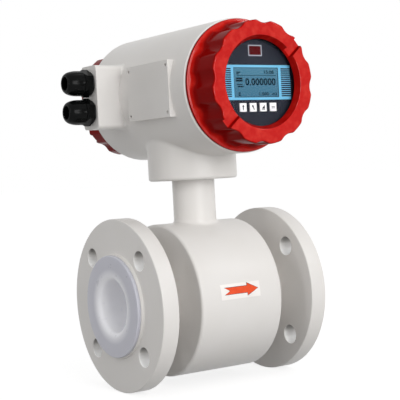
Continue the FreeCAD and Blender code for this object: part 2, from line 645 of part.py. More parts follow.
def scallops(origin, axis):
    """The finger grips cut round a lid's barrel, running out towards its base."""
    cutter_r = SCALLOP_CUTTER_D / 2
    centre_d = 2 * (LID_BARREL_R - SCALLOP_DEPTH) + SCALLOP_CUTTER_D
    start = LID_BASE_T + LID_FLARE_LENGTH + SCALLOP_RUN_OUT / 2
    grips = []
    for x, z in on_circle(centre_d, SCALLOP_COUNT, SLOT_ANGLE + 180 / SCALLOP_COUNT):
        place = origin + Vector(x, 0, z) + axis * start
        run_out = Part.makeCone(cutter_r, cutter_r / 3, SCALLOP_RUN_OUT, place, axis * -1)
        grips.append(rod(SCALLOP_CUTTER_D, LID_DEPTH, place, axis).fuse(run_out))
    return grips


def spanner_slots(origin, axis):
    """Two slots across the front ring of a lid, opposite each other."""
    slots = []
    for turn in (0, 180):
        middle = Vector((WINDOW_FRONT_R + LID_BASE_R) / 2, 0, 0)
        slot = block(Vector(LID_BASE_R - WINDOW_FRONT_R, 2 * SLOT_DEPTH, SLOT_WIDTH), middle)
        slot.rotate(Vector(), Y_AXIS, -(SLOT_ANGLE + turn))
        slot.translate(origin + axis * LID_DEPTH)
        slots.append(slot)
    return slots


def front_lid():
    """The lid with the window: lip, glass seat and retaining ring groove."""
    groove_r = GLASS_SEAT_R + RETAINER_BITE
    section = lid_outline()
    section.line(LID_DEPTH, WINDOW_FRONT_R).line(GASKET_FRONT, WINDOW_BACK_R)
    section.line(GASKET_FRONT, GLASS_SEAT_R).line(GLASS_BACK, GLASS_SEAT_R)
    section.line(GLASS_BACK, groove_r).line(RETAINER_BACK, groove_r)
    section.line(RETAINER_BACK, GLASS_SEAT_R).line(RETAINER_BACK - RETAINER_T, GLASS_SEAT_R)
    section.line(RETAINER_BACK - RETAINER_T, LID_CAVITY_R)
    origin, axis = at_converter(0, -RIM_Y, 0), Y_AXIS * -1
    return section.turned(origin, axis).cut(scallops(origin, axis) + spanner_slots(origin, axis))


def rear_lid():
    """The blind lid over the terminals, with a dished centre."""
    section = lid_outline()
    section.line(LID_DEPTH, WINDOW_FRONT_R).line(LID_DEPTH - LID_RECESS, WINDOW_FRONT_R)
    section.line(LID_DEPTH - LID_RECESS, 0).line(LID_DEPTH - LID_CROWN_T, 0)
    section.line(LID_DEPTH - LID_CROWN_T, LID_CAVITY_R)
    origin, axis = at_converter(0, RIM_Y, 0), Y_AXIS
    return section.turned(origin, axis).cut(scallops(origin, axis) + spanner_slots(origin, axis))


def lid_seal(side):
    """The rubber ring in the groove at the root of a lid's thread."""
    start = at_converter(0, side * (RIM_Y - LID_SEAL_WIDTH), 0)
    outer_d = 2 * LID_SKIRT_R
    return ring(outer_d, outer_d - 2 * LID_SEAL_T, LID_SEAL_WIDTH, start, Y_AXIS * side)


def window_disc(outer_d, inner_d, front, thickness):
    """A disc or ring in the front lid, whose front lies at a height above the rim."""
    start = at_converter(0, -(RIM_Y + front - thickness), 0)
    disc = rod(outer_d, thickness, start, Y_AXIS * -1)
    if inner_d:
        disc = disc.cut(rod(inner_d, thickness, start, Y_AXIS * -1))
    return disc


# ---- Display ----
def plate(width, height, front_y, depth, x, rise):
    """A rectangular plate facing -Y, from its front plane backwards."""
    return block(Vector(width, depth, height), at_converter(x, front_y + depth / 2, rise))


def key_places():
    """Sideways places of the keys, left to right."""
    return [KEY_PITCH * (k - (KEY_COUNT - 1) / 2) for k in range(KEY_COUNT)]


def display_panel():
    """The round front plate behind the window, pierced for display, keys and sensor."""
    disc = rod(PANEL_D, PANEL_T, at_converter(0, PANEL_FRONT_Y, 0), Y_AXIS)
    cuts = [plate(BEZEL_WIDTH, BEZEL_HEIGHT, PANEL_FRONT_Y, PANEL_T, 0, BEZEL_RISE),
            plate(INFRARED_WIDTH, INFRARED_HEIGHT, PANEL_FRONT_Y, PANEL_T, 0, INFRARED_RISE)]
    for x in key_places():
        cuts.append(plate(KEY_WIDTH + 2 * CLEARANCE, KEY_HEIGHT + 2 * CLEARANCE,
                          PANEL_FRONT_Y, PANEL_T, x, -KEY_DROP))
    return disc.cut(cuts)


def display_bezel():
    """The light frame round the display glass."""
    frame = plate(BEZEL_WIDTH, BEZEL_HEIGHT, PANEL_FRONT_Y, PANEL_T, 0, BEZEL_RISE)
    return frame.cut(plate(LCD_WIDTH, LCD_HEIGHT, PANEL_FRONT_Y, PANEL_T, 0, BEZEL_RISE))


def lcd_module():
    """The display: a case on its board with the raised glass in the bezel."""
    glass = plate(LCD_WIDTH, LCD_HEIGHT, PANEL_FRONT_Y + LCD_RECESS, PANEL_T - LCD_RECESS, 0, BEZEL_RISE)
    case = plate(LCD_MODULE_WIDTH, LCD_MODULE_HEIGHT, PANEL_BACK_Y, CARRIER_H, 0, BEZEL_RISE)
    return joined([glass, case])


def infrared_window():
    """The dark red window of the remote control sensor."""
    return plate(INFRARED_WIDTH, INFRARED_HEIGHT, PANEL_FRONT_Y, INFRARED_DEPTH, 0, INFRARED_RISE)


def key(x):
    """A push key: a square cap with a round stem towards its switch."""
    front_y = PANEL_FRONT_Y - KEY_PROUD
    cap = plate(KEY_WIDTH, KEY_HEIGHT, front_y, KEY_DEPTH, x, -KEY_DROP)
    stem_length = DISPLAY_BOARD_Y - SWITCH_BODY_H - KEY_TRAVEL - CLEARANCE - front_y
    stem = rod(KEY_STEM_D, stem_length, at_converter(x, front_y, -KEY_DROP), Y_AXIS)
    return joined([cap, stem])


def key_switch(x):
    """The switch under a key, on the display board."""
    body = plate(SWITCH_SIZE, SWITCH_SIZE, DISPLAY_BOARD_Y - SWITCH_BODY_H, SWITCH_BODY_H, x, -KEY_DROP)
    dish_start = at_converter(x, DISPLAY_BOARD_Y - SWITCH_BODY_H, -KEY_DROP)
    return body.cut(rod(SWITCH_PLUNGER_D, SWITCH_BODY_H / 4, dish_start, Y_AXIS))


def display_carrier():
    """The moulded ring that holds the panel on the display board."""
    start = at_converter(0, PANEL_BACK_Y, 0)
    return ring(PANEL_D, PANEL_D - 2 * CARRIER_WALL, CARRIER_H, start, Y_AXIS)


# ---- Boards ----
def stack_places():
    """Places of the four standoffs, from the converter's axis."""
    return on_circle(DISPLAY_BOARD_D - 2 * STANDOFF_EDGE, 4, 45)


def round_board(diameter, front_y):
    """A round circuit board facing -Y."""
    return rod(diameter, BOARD_T, at_converter(0, front_y, 0), Y_AXIS)


def display_board():
    """The board behind the display, drilled for its screws."""
    board = round_board(DISPLAY_BOARD_D, DISPLAY_BOARD_Y)
    return board.cut([rod(SCREW_D, BOARD_T, at_converter(x, DISPLAY_BOARD_Y, z), Y_AXIS)
                      for x, z in stack_places()])


def standoffs(start_y, length, bite):
    """Four six-sided spacers; the bite is the depth of a screw in their front end."""
    group = []
    for x, z in stack_places():
        start = at_converter(x, start_y, z)
        spacer = hexagon(STANDOFF_AF, length, start, Y_AXIS)
        if bite:
            spacer = spacer.cut(rod(SCREW_D, bite, start, Y_AXIS))
        group.append(spacer)
    return Part.makeCompound(group)


def screw(head_point, axis):
    """A pan-head board screw; axis runs from the head into the hole."""
    head = rod(SCREW_HEAD_D, SCREW_HEAD_H, head_point, axis * -1)
    shank = rod(SCREW_D, BOARD_T + SCREW_BITE, head_point, axis)
    return joined([head, shank])


def terminal_post_places():
    """Sideways and upward places of the terminal board's posts."""
    reach_x = TERMINAL_BOARD_WIDTH / 2 - TERMINAL_POST_EDGE
    reach_z = TERMINAL_BOARD_HEIGHT / 2 - TERMINAL_POST_EDGE
    return [(i * reach_x, j * reach_z) for i in (-1, 1) for j in (-1, 1)]


def board_screws():
    """The screws of the display board and of the terminal board."""
    group = [screw(at_converter(x, DISPLAY_BOARD_Y, z), Y_AXIS) for x, z in stack_places()]
    rear_face_y = TERMINAL_BOARD_Y + BOARD_T
    group += [screw(at_converter(x, rear_face_y, z), Y_AXIS * -1) for x, z in terminal_post_places()]
    return Part.makeCompound(group)


def terminal_board():
    """The wiring board in the rear compartment."""
    board = plate(TERMINAL_BOARD_WIDTH, TERMINAL_BOARD_HEIGHT, TERMINAL_BOARD_Y, BOARD_T, 0, 0)
    return board.cut([rod(SCREW_D, BOARD_T, at_converter(x, TERMINAL_BOARD_Y, z), Y_AXIS)
                      for x, z in terminal_post_places()])


def terminal_posts():
    """The spacers between the partition and the terminal board."""
    start_y = PARTITION_Y + PARTITION_T
    posts = [ring(TERMINAL_POST_D, SCREW_D, TERMINAL_POST, at_converter(x, start_y, z), Y_AXIS)
             for x, z in terminal_post_places()]
    return Part.makeCompound(posts)


def terminal_rows():
    """Heights of the two terminal rows."""
    return [side * TERMINAL_ROW_PITCH / 2 for side in (1, -1)]


def pole_places():
    """Sideways places of the terminals in one row."""
    pitch = TERMINAL_BLOCK_WIDTH / TERMINAL_POLES
    return [pitch * (k - (TERMINAL_POLES - 1) / 2) for k in range(TERMINAL_POLES)]


def terminal_blocks():
    """Two rows of screw terminals, each with its wire openings."""
    front_y = TERMINAL_BOARD_Y + BOARD_T
    rows = []
    for rise in terminal_rows():
        row = plate(TERMINAL_BLOCK_WIDTH, TERMINAL_BLOCK_SIZE, front_y, TERMINAL_BLOCK_SIZE, 0, rise)
        outward = Z_AXIS * math.copysign(1, rise)
        openings = [rod(TERMINAL_WIRE_D, TERMINAL_BLOCK_SIZE / 2,
                        at_converter(x, front_y + TERMINAL_BLOCK_SIZE / 2, rise), outward)
                    for x in pole_places()]
        rows.append(row.cut(openings))
    return Part.makeCompound(rows)


def terminal_screws():
    """The clamping screws on the terminal rows."""
    face_y = TERMINAL_BOARD_Y + BOARD_T + TERMINAL_BLOCK_SIZE
    heads = [rod(TERMINAL_SCREW_D, TERMINAL_SCREW_H, at_converter(x, face_y, rise), Y_AXIS)
             for rise in terminal_rows() for x in pole_places()]
    return Part.makeCompound(heads)


# ---- The whole meter ----
def sensor_pieces():
    """The flanged pipe with its magnet system."""
    upper_pole, upper_coil, upper_screw = pole_piece(), coil(), yoke_screw()
    return {
        "inlet_flange": flange(-1),
        "outlet_flange": flange(1),
        "measuring_tube": measuring_tube(),
        "liner": liner(),
        "coil_housing": coil_housing(),
        "inlet_end_plate": end_plate(-1),
        "outlet_end_plate": end_plate(1),
        "neck_tube": neck_tube(),
        "pole_piece_upper": upper_pole,
        "pole_piece_lower": below(upper_pole),
        "coil_upper": upper_coil,
        "coil_lower": below(upper_coil),
        "return_yoke": return_yoke(),
        "yoke_screws": Part.makeCompound([upper_screw, below(upper_screw)]),
        "electrode_front": electrode(-1),
        "electrode_rear": electrode(1),
        "electrode_bushes": Part.makeCompound([electrode_bush(side) for side in (-1, 1)]),
        "electrode_nuts": Part.makeCompound([electrode_nut(side) for side in (-1, 1)]),
        "signal_lead": signal_lead(),
        "flow_label": flow_label(),
    }


def converter_pieces():
    """The converter casting, its glands, lids and terminals."""
    upper, lower = gland_places()
    gasket_bore_d = GLASS_D - 2 * GLASS_GASKET_WIDTH
    retainer_d = 2 * (GLASS_SEAT_R + RETAINER_BITE)
    retainer_bore_d = GLASS_D - 2 * RETAINER_WIDTH
    return {
        "converter_housing": converter_housing(),
        "neck_seal": neck_seal(),
        "neck_set_screw": neck_set_screw(),
        "upper_gland_body": gland_body(upper),
        "lower_gland_body": gland_body(lower),
        "gland_gaskets": Part.makeCompound([gland_gasket(upper), gland_gasket(lower)]),
        "upper_gland_seal": gland_seal(upper),
        "lower_gland_seal": gland_seal(lower),
        "upper_gland_nut": gland_nut(upper),
        "lower_gland_nut": gland_nut(lower),
        "front_lid": front_lid(),
        "front_lid_seal": lid_seal(-1),
        "glass_gasket": window_disc(GLASS_D, gasket_bore_d, GASKET_FRONT, GLASS_GASKET_T),
        "front_glass": window_disc(GLASS_D, 0, GLASS_FRONT, GLASS_T),
        "glass_retaining_ring": window_disc(retainer_d, retainer_bore_d, GLASS_BACK, RETAINER_T),
        "rear_lid": rear_lid(),
        "rear_lid_seal": lid_seal(1),
        "terminal_board": terminal_board(),
        "terminal_posts": terminal_posts(),
        "terminal_blocks": terminal_blocks(),
        "terminal_screws": terminal_screws(),
    }


def display_pieces():
    """The display, its keys and the stack of boards in the front compartment."""
    pieces = {
        "display_panel": display_panel(),
        "display_bezel": display_bezel(),
        "lcd_module": lcd_module(),
        "infrared_window": infrared_window(),
        "display_carrier": display_carrier(),
        "display_board": display_board(),
        "main_board": round_board(MAIN_BOARD_D, MAIN_BOARD_Y),
        "power_board": round_board(MAIN_BOARD_D, POWER_BOARD_Y),
        "front_standoffs": standoffs(DISPLAY_BOARD_Y + BOARD_T, FRONT_STANDOFF, SCREW_BITE),
        "middle_standoffs": standoffs(MAIN_BOARD_Y + BOARD_T, MIDDLE_STANDOFF, 0),
        "rear_standoffs": standoffs(POWER_BOARD_Y + BOARD_T, REAR_STANDOFF, 0),
        "board_screws": board_screws(),
        "key_switches": Part.makeCompound([key_switch(x) for x in key_places()]),
    }
    for number, x in enumerate(key_places(), start=1):
        pieces[f"key_{number}"] = key(x)
    return pieces


def main():
    os.makedirs("parts", exist_ok=True)
    pieces = {**sensor_pieces(), **converter_pieces(), **display_pieces()}
    for name, shape in pieces.items():
        shape.exportStep(f"parts/{name}.step")
        print(f"{name}: {len(shape.Solids)} solid(s), {shape.Volume / 1000:.2f} cm3")
    print(f"{len(pieces)} nodes")


main()
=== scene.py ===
# %% [markdown]
# # Dressing a flanged flow meter
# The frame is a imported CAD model: every solid is already in its place, in metres.
# This lesson keeps that frame fixed and gives it a finish. Cast and turned pieces get
# rounded edges, prints and fillets are added, and each material gets its own grain.

# %% Load the frame
import json
import math

import bmesh
import bpy
import numpy as np
from mathutils import Matrix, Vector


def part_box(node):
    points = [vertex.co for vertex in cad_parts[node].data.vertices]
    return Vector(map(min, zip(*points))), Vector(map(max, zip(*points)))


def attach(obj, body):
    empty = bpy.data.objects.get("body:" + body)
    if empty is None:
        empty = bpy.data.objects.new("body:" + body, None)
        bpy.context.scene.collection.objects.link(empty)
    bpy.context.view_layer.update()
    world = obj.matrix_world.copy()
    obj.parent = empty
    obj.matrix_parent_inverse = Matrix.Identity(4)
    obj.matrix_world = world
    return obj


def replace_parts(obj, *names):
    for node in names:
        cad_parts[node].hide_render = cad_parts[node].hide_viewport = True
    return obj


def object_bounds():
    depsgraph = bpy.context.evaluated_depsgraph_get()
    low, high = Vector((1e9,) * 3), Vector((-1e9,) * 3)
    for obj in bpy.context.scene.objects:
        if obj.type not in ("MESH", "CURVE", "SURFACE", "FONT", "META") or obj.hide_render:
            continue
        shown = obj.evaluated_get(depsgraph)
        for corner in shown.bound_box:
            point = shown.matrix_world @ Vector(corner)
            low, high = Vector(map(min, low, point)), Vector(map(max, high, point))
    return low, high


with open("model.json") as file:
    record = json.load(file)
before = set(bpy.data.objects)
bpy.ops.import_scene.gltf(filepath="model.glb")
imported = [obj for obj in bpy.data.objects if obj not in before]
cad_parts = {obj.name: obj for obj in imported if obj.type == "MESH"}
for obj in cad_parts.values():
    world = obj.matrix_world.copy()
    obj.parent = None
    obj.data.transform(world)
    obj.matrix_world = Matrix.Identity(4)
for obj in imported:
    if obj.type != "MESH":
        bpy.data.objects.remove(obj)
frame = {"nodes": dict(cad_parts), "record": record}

MM = 0.001
cad_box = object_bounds()
print("CAD box in mm:", np.round(np.array(cad_box) / MM, 1).tolist())

# %% [markdown]
# ## Measures from the frame
# Places come from the boxes of the CAD nodes, so a change of the CAD model carries
# through. Only what a box can't tell, such as a wall, is written out.

# %% Read the main sizes
X, Y, Z = np.eye(3)
FLANGE_BACK_X, FLANGE_FRONT_X = (corner[0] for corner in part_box("outlet_flange"))
FLANGE_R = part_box("outlet_flange")[1][2]
BOLT_CIRCLE_R, BOLT_HOLE_R = 62.5, 9.0
HOUSING_END_X, _, HOUSING_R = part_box("coil_housing")[1]
NECK_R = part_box("neck_tube")[1][0]
AXIS_Z = sum(corner[2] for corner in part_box("front_glass")) / 2
AXIS = np.array([0, 0, AXIS_Z])
_, RIM_Y, BARREL_TOP_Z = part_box("converter_housing")[1]
BARREL_R = BARREL_TOP_Z - AXIS_Z
LID_BASE_R, LID_END_Y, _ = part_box("rear_lid")[1]
print(f"housing radius {HOUSING_R / MM:.1f}, converter axis at {AXIS_Z / MM:.1f} mm")

# %% [markdown]
# ## Camera
# A long lens from the front left, almost level with the pipe, keeps the flanges round
# and shows the window. The camera's matrix is made from three perpendicular directions.

# %% Place the camera
CAMERA_AZIMUTH, CAMERA_ELEVATION, CAMERA_ROLL = np.radians([-33.932, 1.532, -3.092])
CAMERA_DISTANCE = 1117.19 * MM
AIM_RIGHT, AIM_UP = 0.691 * MM, 94.868 * MM
CAMERA_LENS = 101.2


def add(name, data):
    """A new object for its data, linked to the scene."""
    made = bpy.data.objects.new(name, data)
    bpy.context.scene.collection.objects.link(made)
    return made


def stand(name, data, axes, place):
    """A new object at a place, with its X, Y and Z along three axes."""
    made = add(name, data)
    made.matrix_world = Matrix([*np.column_stack([*axes, place]).tolist(), [0, 0, 0, 1]])
    return made


def camera_axes(azimuth, elevation, roll):
    """Right, up and back of a camera: back points from the object to the camera."""
    back = np.array([math.sin(azimuth) * math.cos(elevation),
                     -math.cos(azimuth) * math.cos(elevation), math.sin(elevation)])
    level = np.array([math.cos(azimuth), math.sin(azimuth), 0])
    upright = np.cross(back, level)
    right = level * math.cos(roll) + upright * math.sin(roll)
    return right, upright * math.cos(roll) - level * math.sin(roll), back


right, up, back = camera_axes(CAMERA_AZIMUTH, CAMERA_ELEVATION, CAMERA_ROLL)
camera_place = right * AIM_RIGHT + up * AIM_UP + back * CAMERA_DISTANCE
camera_data = bpy.data.cameras.new("camera")
camera_data.lens = CAMERA_LENS
bpy.context.scene.camera = stand("camera", camera_data, (right, up, back), camera_place)
print("camera at", np.round(camera_place, 3).tolist())

# %% [markdown]
# ## Light
# The studio is a white room: a world that gives an even light from all sides and one
# large lamp in front. Two narrow strips draw the gloss on the lids' flares and on the
# flanges' rims. The right one stands high, so that the window doesn't mirror it.

# %% Light the studio
WORLD_LEVEL = 0.54
LAMPS = {   # azimuth and elevation in degrees, distance and size in metres, power in watts
    "key": (-4, 11, 1.6, (0.9, 0.8), 14.5),
    "left": (-84, 16, 1.4, (0.06, 0.9), 1.9),
    "right": (42, 32, 1.4, (0.06, 0.5), 1.6),
}
bpy.context.scene.view_settings.view_transform = "Standard"


def math_node(tree, operation, *values):
    """The result of a Math node; a value is a number or another node's output."""
    made = tree.nodes.new("ShaderNodeMath")
    made.operation = operation
    for socket, value in zip(made.inputs, values):
        if isinstance(value, float):
            socket.default_value = value
        else:
            tree.links.new(value, socket)
    return made.outputs[0]


def is_seen(tree):
    """1 for rays from the camera, off a glossy surface or through glass, else 0."""
    path = tree.nodes.new("ShaderNodeLightPath").outputs
    opaque = math_node(tree, "MAXIMUM", path["Is Camera Ray"], path["Is Glossy Ray"])
    return math_node(tree, "MAXIMUM", opaque, path["Is Transmission Ray"])


def white_world():
    """A world that lights with WORLD_LEVEL and is white where it is seen."""
    world = bpy.data.worlds.new("studio")
    world.use_nodes = True
    nodes, links = world.node_tree.nodes, world.node_tree.links
    background = nodes["Background"].inputs
    strength = nodes.new("ShaderNodeMapRange")
    strength.inputs["To Min"].default_value = WORLD_LEVEL
    links.new(is_seen(world.node_tree), strength.inputs["Value"])
    links.new(strength.outputs["Result"], background["Strength"])
    background["Color"].default_value = (1, 1, 1, 1)
    bpy.context.scene.world = world


def soft_lamp(name, azimuth, elevation, distance, size, power):
    """A rectangular lamp aimed at the middle of the meter."""
    axes = camera_axes(math.radians(azimuth), math.radians(elevation), 0)
    target = (np.array(cad_box[0]) + np.array(cad_box[1])) / 2
    data = bpy.data.lights.new(name, "AREA")
    data.shape, data.energy = "RECTANGLE", power
    data.size, data.size_y = size
    stand(name, data, axes, target + axes[2] * distance)


white_world()
for name, values in LAMPS.items():
    soft_lamp(name, *values)

# %% [markdown]
# ## Floor
# The floor under the flanges is grey for the light that falls on the meter, so the
# undersides stay in shade. It glows only where it is seen, which makes the picture white,
# and it keeps the meter's shadow.

# %% Lay the floor
FLOOR_SIZE = 30.0
FLOOR_GREY, FLOOR_GLOW = 0.32, 0.78


def floor_material():
    """Paper that glows towards the camera, in mirrors and through glass."""
    material = bpy.data.materials.new("paper")
    material.use_nodes = True
    tree = material.node_tree
    sockets = tree.nodes["Principled BSDF"].inputs
    sockets["Base Color"].default_value = (FLOOR_GREY, FLOOR_GREY, FLOOR_GREY, 1)
    sockets["Roughness"].default_value = 0.9
    sockets["Emission Color"].default_value = (1, 1, 1, 1)
    glow = math_node(tree, "MULTIPLY", is_seen(tree), FLOOR_GLOW)
    tree.links.new(glow, sockets["Emission Strength"])
    return material


def floor():
    """One square at the height of the flanges' lowest point."""
    half, level = FLOOR_SIZE / 2, cad_box[0][2]
    mesh = bpy.data.meshes.new("floor")
    corners = [(x * half, y * half, level) for x, y in ((-1, -1), (1, -1), (1, 1), (-1, 1))]
    mesh.from_pydata(corners, [], [(0, 1, 2, 3)])
    mesh.materials.append(floor_material())
    add("floor", mesh)


floor()

# %% [markdown]
# ## Materials
# Every finish is a Principled shader with its plain numbers on the shader's own sockets.
# Noise in Object coordinates then varies colour, roughness or height. Colours are screen
# values from 0 to 255, grains and heights are millimetres. Noise with scale s repeats
# about every 1/s metres.

# %% A small helper for finishes
def linear(colour):
    """Screen values from 0 to 255 as the linear values, with alpha, that shaders use."""
    v = np.array(colour) / 255
    return (*np.where(v <= 0.04045, v / 12.92, ((v + 0.055) / 1.055) ** 2.4).tolist(), 1)


FINISHES = {}


class Finish:
    """A material being made: a Principled shader and what varies it."""

    def __init__(self, name, colour, roughness, **sockets):
        """Plain numbers; a socket's name is written with _ for each space."""
        material = FINISHES[name] = bpy.data.materials.new(name)
        material.use_nodes = True
        self.tree = material.node_tree
        self.sockets = self.tree.nodes["Principled BSDF"].inputs
        self.colour = linear(colour)
        self.sockets["Base Color"].default_value = self.colour
        self.sockets["Roughness"].default_value = roughness
        for socket, value in sockets.items():
            self.sockets[socket.replace("_", " ")].default_value = value
        coordinates = self.node("ShaderNodeTexCoord").outputs
        self.place, self.direction = coordinates["Object"], coordinates["Normal"]
        self.height = None

    def node(self, kind, **settings):
        """A new node with its settings."""
        made = self.tree.nodes.new(kind)
        for key, value in settings.items():
            setattr(made, key, value)
        return made

    def link(self, source, target):
        """Joins an output to an input."""
        self.tree.links.new(source, target)

    def product(self, first, second):
        """One value times another."""
        return math_node(self.tree, "MULTIPLY", first, second)

    def part(self, vector, letter):
        """One coordinate of a vector."""
        split = self.node("ShaderNodeSeparateXYZ")
        self.link(vector, split.inputs["Vector"])
        return split.outputs[letter]

    def stretched(self, factors):
        """Object coordinates multiplied along X, Y and Z."""
        mapping = self.node("ShaderNodeMapping")
        mapping.inputs["Scale"].default_value = factors
        self.link(self.place, mapping.inputs["Vector"])
        return mapping.outputs["Vector"]

    def noise(self, grain, detail=2.0, stretch=None):
        """Noise from 0 to 1 whose grain is so many millimetres across."""
        made = self.node("ShaderNodeTexNoise")
        made.inputs["Scale"].default_value = 1 / (grain * MM)
        made.inputs["Detail"].default_value = detail
        self.link(self.stretched(stretch) if stretch else self.place, made.inputs["Vector"])
        return made.outputs["Fac"]

    def between(self, value, low, high, start=0.3, end=0.7):
        """A value spread from start..end to low..high."""
        spread = self.node("ShaderNodeMapRange")
        for socket, number in zip(spread.inputs, (0, start, end, low, high)):
            socket.default_value = number
        self.link(value, spread.inputs["Value"])
        return spread.outputs["Result"]

    def tint(self, value, other):
        """Mixes the base colour towards another one; tints can be stacked."""
        mix = self.node("ShaderNodeMix", data_type="RGBA")
        first, second = (socket for socket in mix.inputs if socket.type == "RGBA")
        first.default_value, second.default_value = self.colour, linear(other)
        base = self.sockets["Base Color"]
        if base.is_linked:
            self.link(base.links[0].from_socket, first)
        self.link(value, mix.inputs["Factor"])
        self.link(next(socket for socket in mix.outputs if socket.type == "RGBA"), base)

    def distance(self, offset=(0, 0, 0)):
        """Metres from a line along X at offset, which each quarter of the YZ plane has."""
        place = self.stretched((0, 1, 1))
        for operation in ("ABSOLUTE", "SUBTRACT", "LENGTH"):
            step = self.node("ShaderNodeVectorMath", operation=operation)
            self.link(place, step.inputs[0])
            place = step.outputs[0]
            if operation == "SUBTRACT":
                step.inputs[1].default_value = offset
        return step.outputs["Value"]

    def glow(self, value, colour, strength):
        """Light of its own where value is 1."""
        self.sockets["Emission Color"].default_value = linear(colour)
        self.link(self.between(value, 0, strength, 0, 1), self.sockets["Emission Strength"])

    def roughen(self, value, low, high):
        """Roughness from low to high."""
        self.link(self.between(value, low, high), self.sockets["Roughness"])

    def bump(self, value, height):
        """Raises the surface by height where value is 1; bumps can be stacked."""
        bump = self.node("ShaderNodeBump")
        bump.inputs["Distance"].default_value = height * MM
        self.link(value, bump.inputs["Height"])
        if self.height:
            self.link(self.height, bump.inputs["Normal"])
        self.height = bump.outputs["Normal"]
        self.link(self.height, self.sockets["Normal"])


# %% [markdown]
# ### Paint
# The meter is powder coated. Melted powder keeps a faint orange peel about two
# millimetres across. The body's coat is half gloss, the red of the lids is glossy. The
# bolt holes are bare metal, with painted shade on their upper side and a painted
# highlight, with a weak glow, on the lower one.

# %% Make the paints
def powder_coat(name, colour, shade, roughness, peel, **sockets):
    """Paint with orange peel; shade is the colour of its slightly thinner places."""
    finish = Finish(name, colour, roughness, **sockets)
    finish.tint(finish.between(finish.noise(40, 3), 0, 1), shade)
    finish.roughen(finish.noise(8, 2), roughness - 0.015, roughness + 0.02)
    finish.bump(finish.noise(2.2, 1.5), peel)
    return finish


def grey_paint(name):
    """The body's half-gloss coat."""
    return powder_coat(name, (227, 224, 221), (225, 222, 218), 0.33, 0.012,
                       Specular_IOR_Level=0.28)


def flange_paint():
    """The same coat; in the bolt holes painted shade above and a painted highlight with a glow
    below.
    """
    finish = grey_paint("flange_paint")
    offset = BOLT_CIRCLE_R * MM * math.sqrt(0.5)
    inside = finish.between(finish.distance((0, offset, offset)), 1, 0,
                            (BOLT_HOLE_R + 0.1) * MM, (BOLT_HOLE_R + 0.6) * MM)
    upward = finish.part(finish.direction, "Z")
    # Painted light in the bolt holes: pale tint and glow on the lower wall, dark tint on the
    # upper wall.
    painted_highlight = finish.product(finish.between(upward, 0, 1, -0.5, 0.6), inside)
    painted_shade = finish.product(finish.between(upward, 1, 0, -0.9, -0.2), inside)
    finish.tint(painted_highlight, (246, 246, 245))
    finish.tint(painted_shade, (120, 118, 115))
    finish.glow(painted_highlight, (255, 255, 255), 0.14)


grey_paint("light_grey_paint")
flange_paint()

# %% [markdown]
# The red coat is painted bright on faces that look along Y, the turned rings, and darker
# on the cast sides: painted shade, picked by the surface's own direction. Rings are paler
# in random patches, a painted sheen, and they alone carry a clear coat.

# %% Make the red paint
def red_paint():
    """Red painted darker on the sides and brighter on faces along Y, painted shade by the
    normal's Y.
    """
    # Painted shade and light: side is the shaded red, ring the lit red; the pale patch colour is
    # a painted sheen.
    side, ring, painted_sheen = (134, 6, 5), (190, 16, 11), (204, 44, 34)
    finish = powder_coat("red_lid_paint", side, side, 0.15, 0.03,
                         Specular_IOR_Level=0.018, Coat_Roughness=0.12)
    size = math_node(finish.tree, "ABSOLUTE", finish.part(finish.direction, "Y"))
    facing = finish.between(size, 0, 1, 0.35, 0.95)
    sheen_patches = finish.between(finish.noise(7, 3), 0, 1, 0.4, 0.75)
    finish.tint(facing, ring)
    finish.tint(finish.product(facing, sheen_patches), painted_sheen)
    finish.link(finish.between(facing, 0, 0.35, 0.85, 1), finish.sockets["Coat Weight"])


red_paint()

# %% [markdown]
# ### Plastics and rubber
# Moulded plastic shows a fine, even grain and a colour that hardly varies. Rubber is
# matt. What lies behind the window has little gloss, so the glass alone mirrors the room.

# %% Make the plastics
PLASTICS = {   # colour, shade, roughness, grain, height, gloss
    "black_plastic": ((7, 8, 8), (10, 11, 11), 0.2, 0.7, 0.01, 0.08),
    "black_rubber": ((24, 24, 25), (32, 32, 33), 0.72, 0.8, 0.03, 0.5),
    "white_insulator": ((228, 228, 222), (220, 220, 214), 0.45, 1, 0.01, 0.5),
    "carrier_plastic": ((40, 42, 46), (48, 50, 54), 0.5, 0.8, 0.01, 0.5),
    "key_white": ((254, 254, 255), (250, 250, 254), 0.4, 0.6, 0.008, 0.5),
    "panel_slate": ((32, 36, 48), (24, 27, 39), 0.5, 0.5, 0.012, 0.08),
    "bezel_blue": ((118, 196, 232), (108, 186, 226), 0.45, 0.6, 0.008, 0.2),
    "infrared_red": ((84, 0, 4), (66, 0, 3), 0.2, 4, 0.004, 0.05),
    "window_trim": ((176, 182, 192), (166, 172, 184), 0.4, 0.6, 0.006, 0.2),
    "terminal_green": ((32, 112, 62), (27, 98, 53), 0.45, 0.7, 0.01, 0.5),
    "label_white": ((244, 240, 236), (240, 235, 231), 0.38, 1, 0.006, 0.5),
}


def moulded(name, colour, shade, roughness, grain, height, gloss):
    """Plastic or rubber with an even grain of the mould."""
    finish = Finish(name, colour, roughness, Specular_IOR_Level=gloss)
    finish.tint(finish.between(finish.noise(20, 2), 0, 1), shade)
    finish.roughen(finish.noise(grain * 6, 2), roughness - 0.05, roughness + 0.08)
    finish.bump(finish.noise(grain, 2), height)


for name, values in PLASTICS.items():
    moulded(name, *values)

# %% [markdown]
# The liner is waxy and a little blue. Near the axis it is painted paler and given a weak
# glow, painted light for the light that comes through it from the far side of the bore.

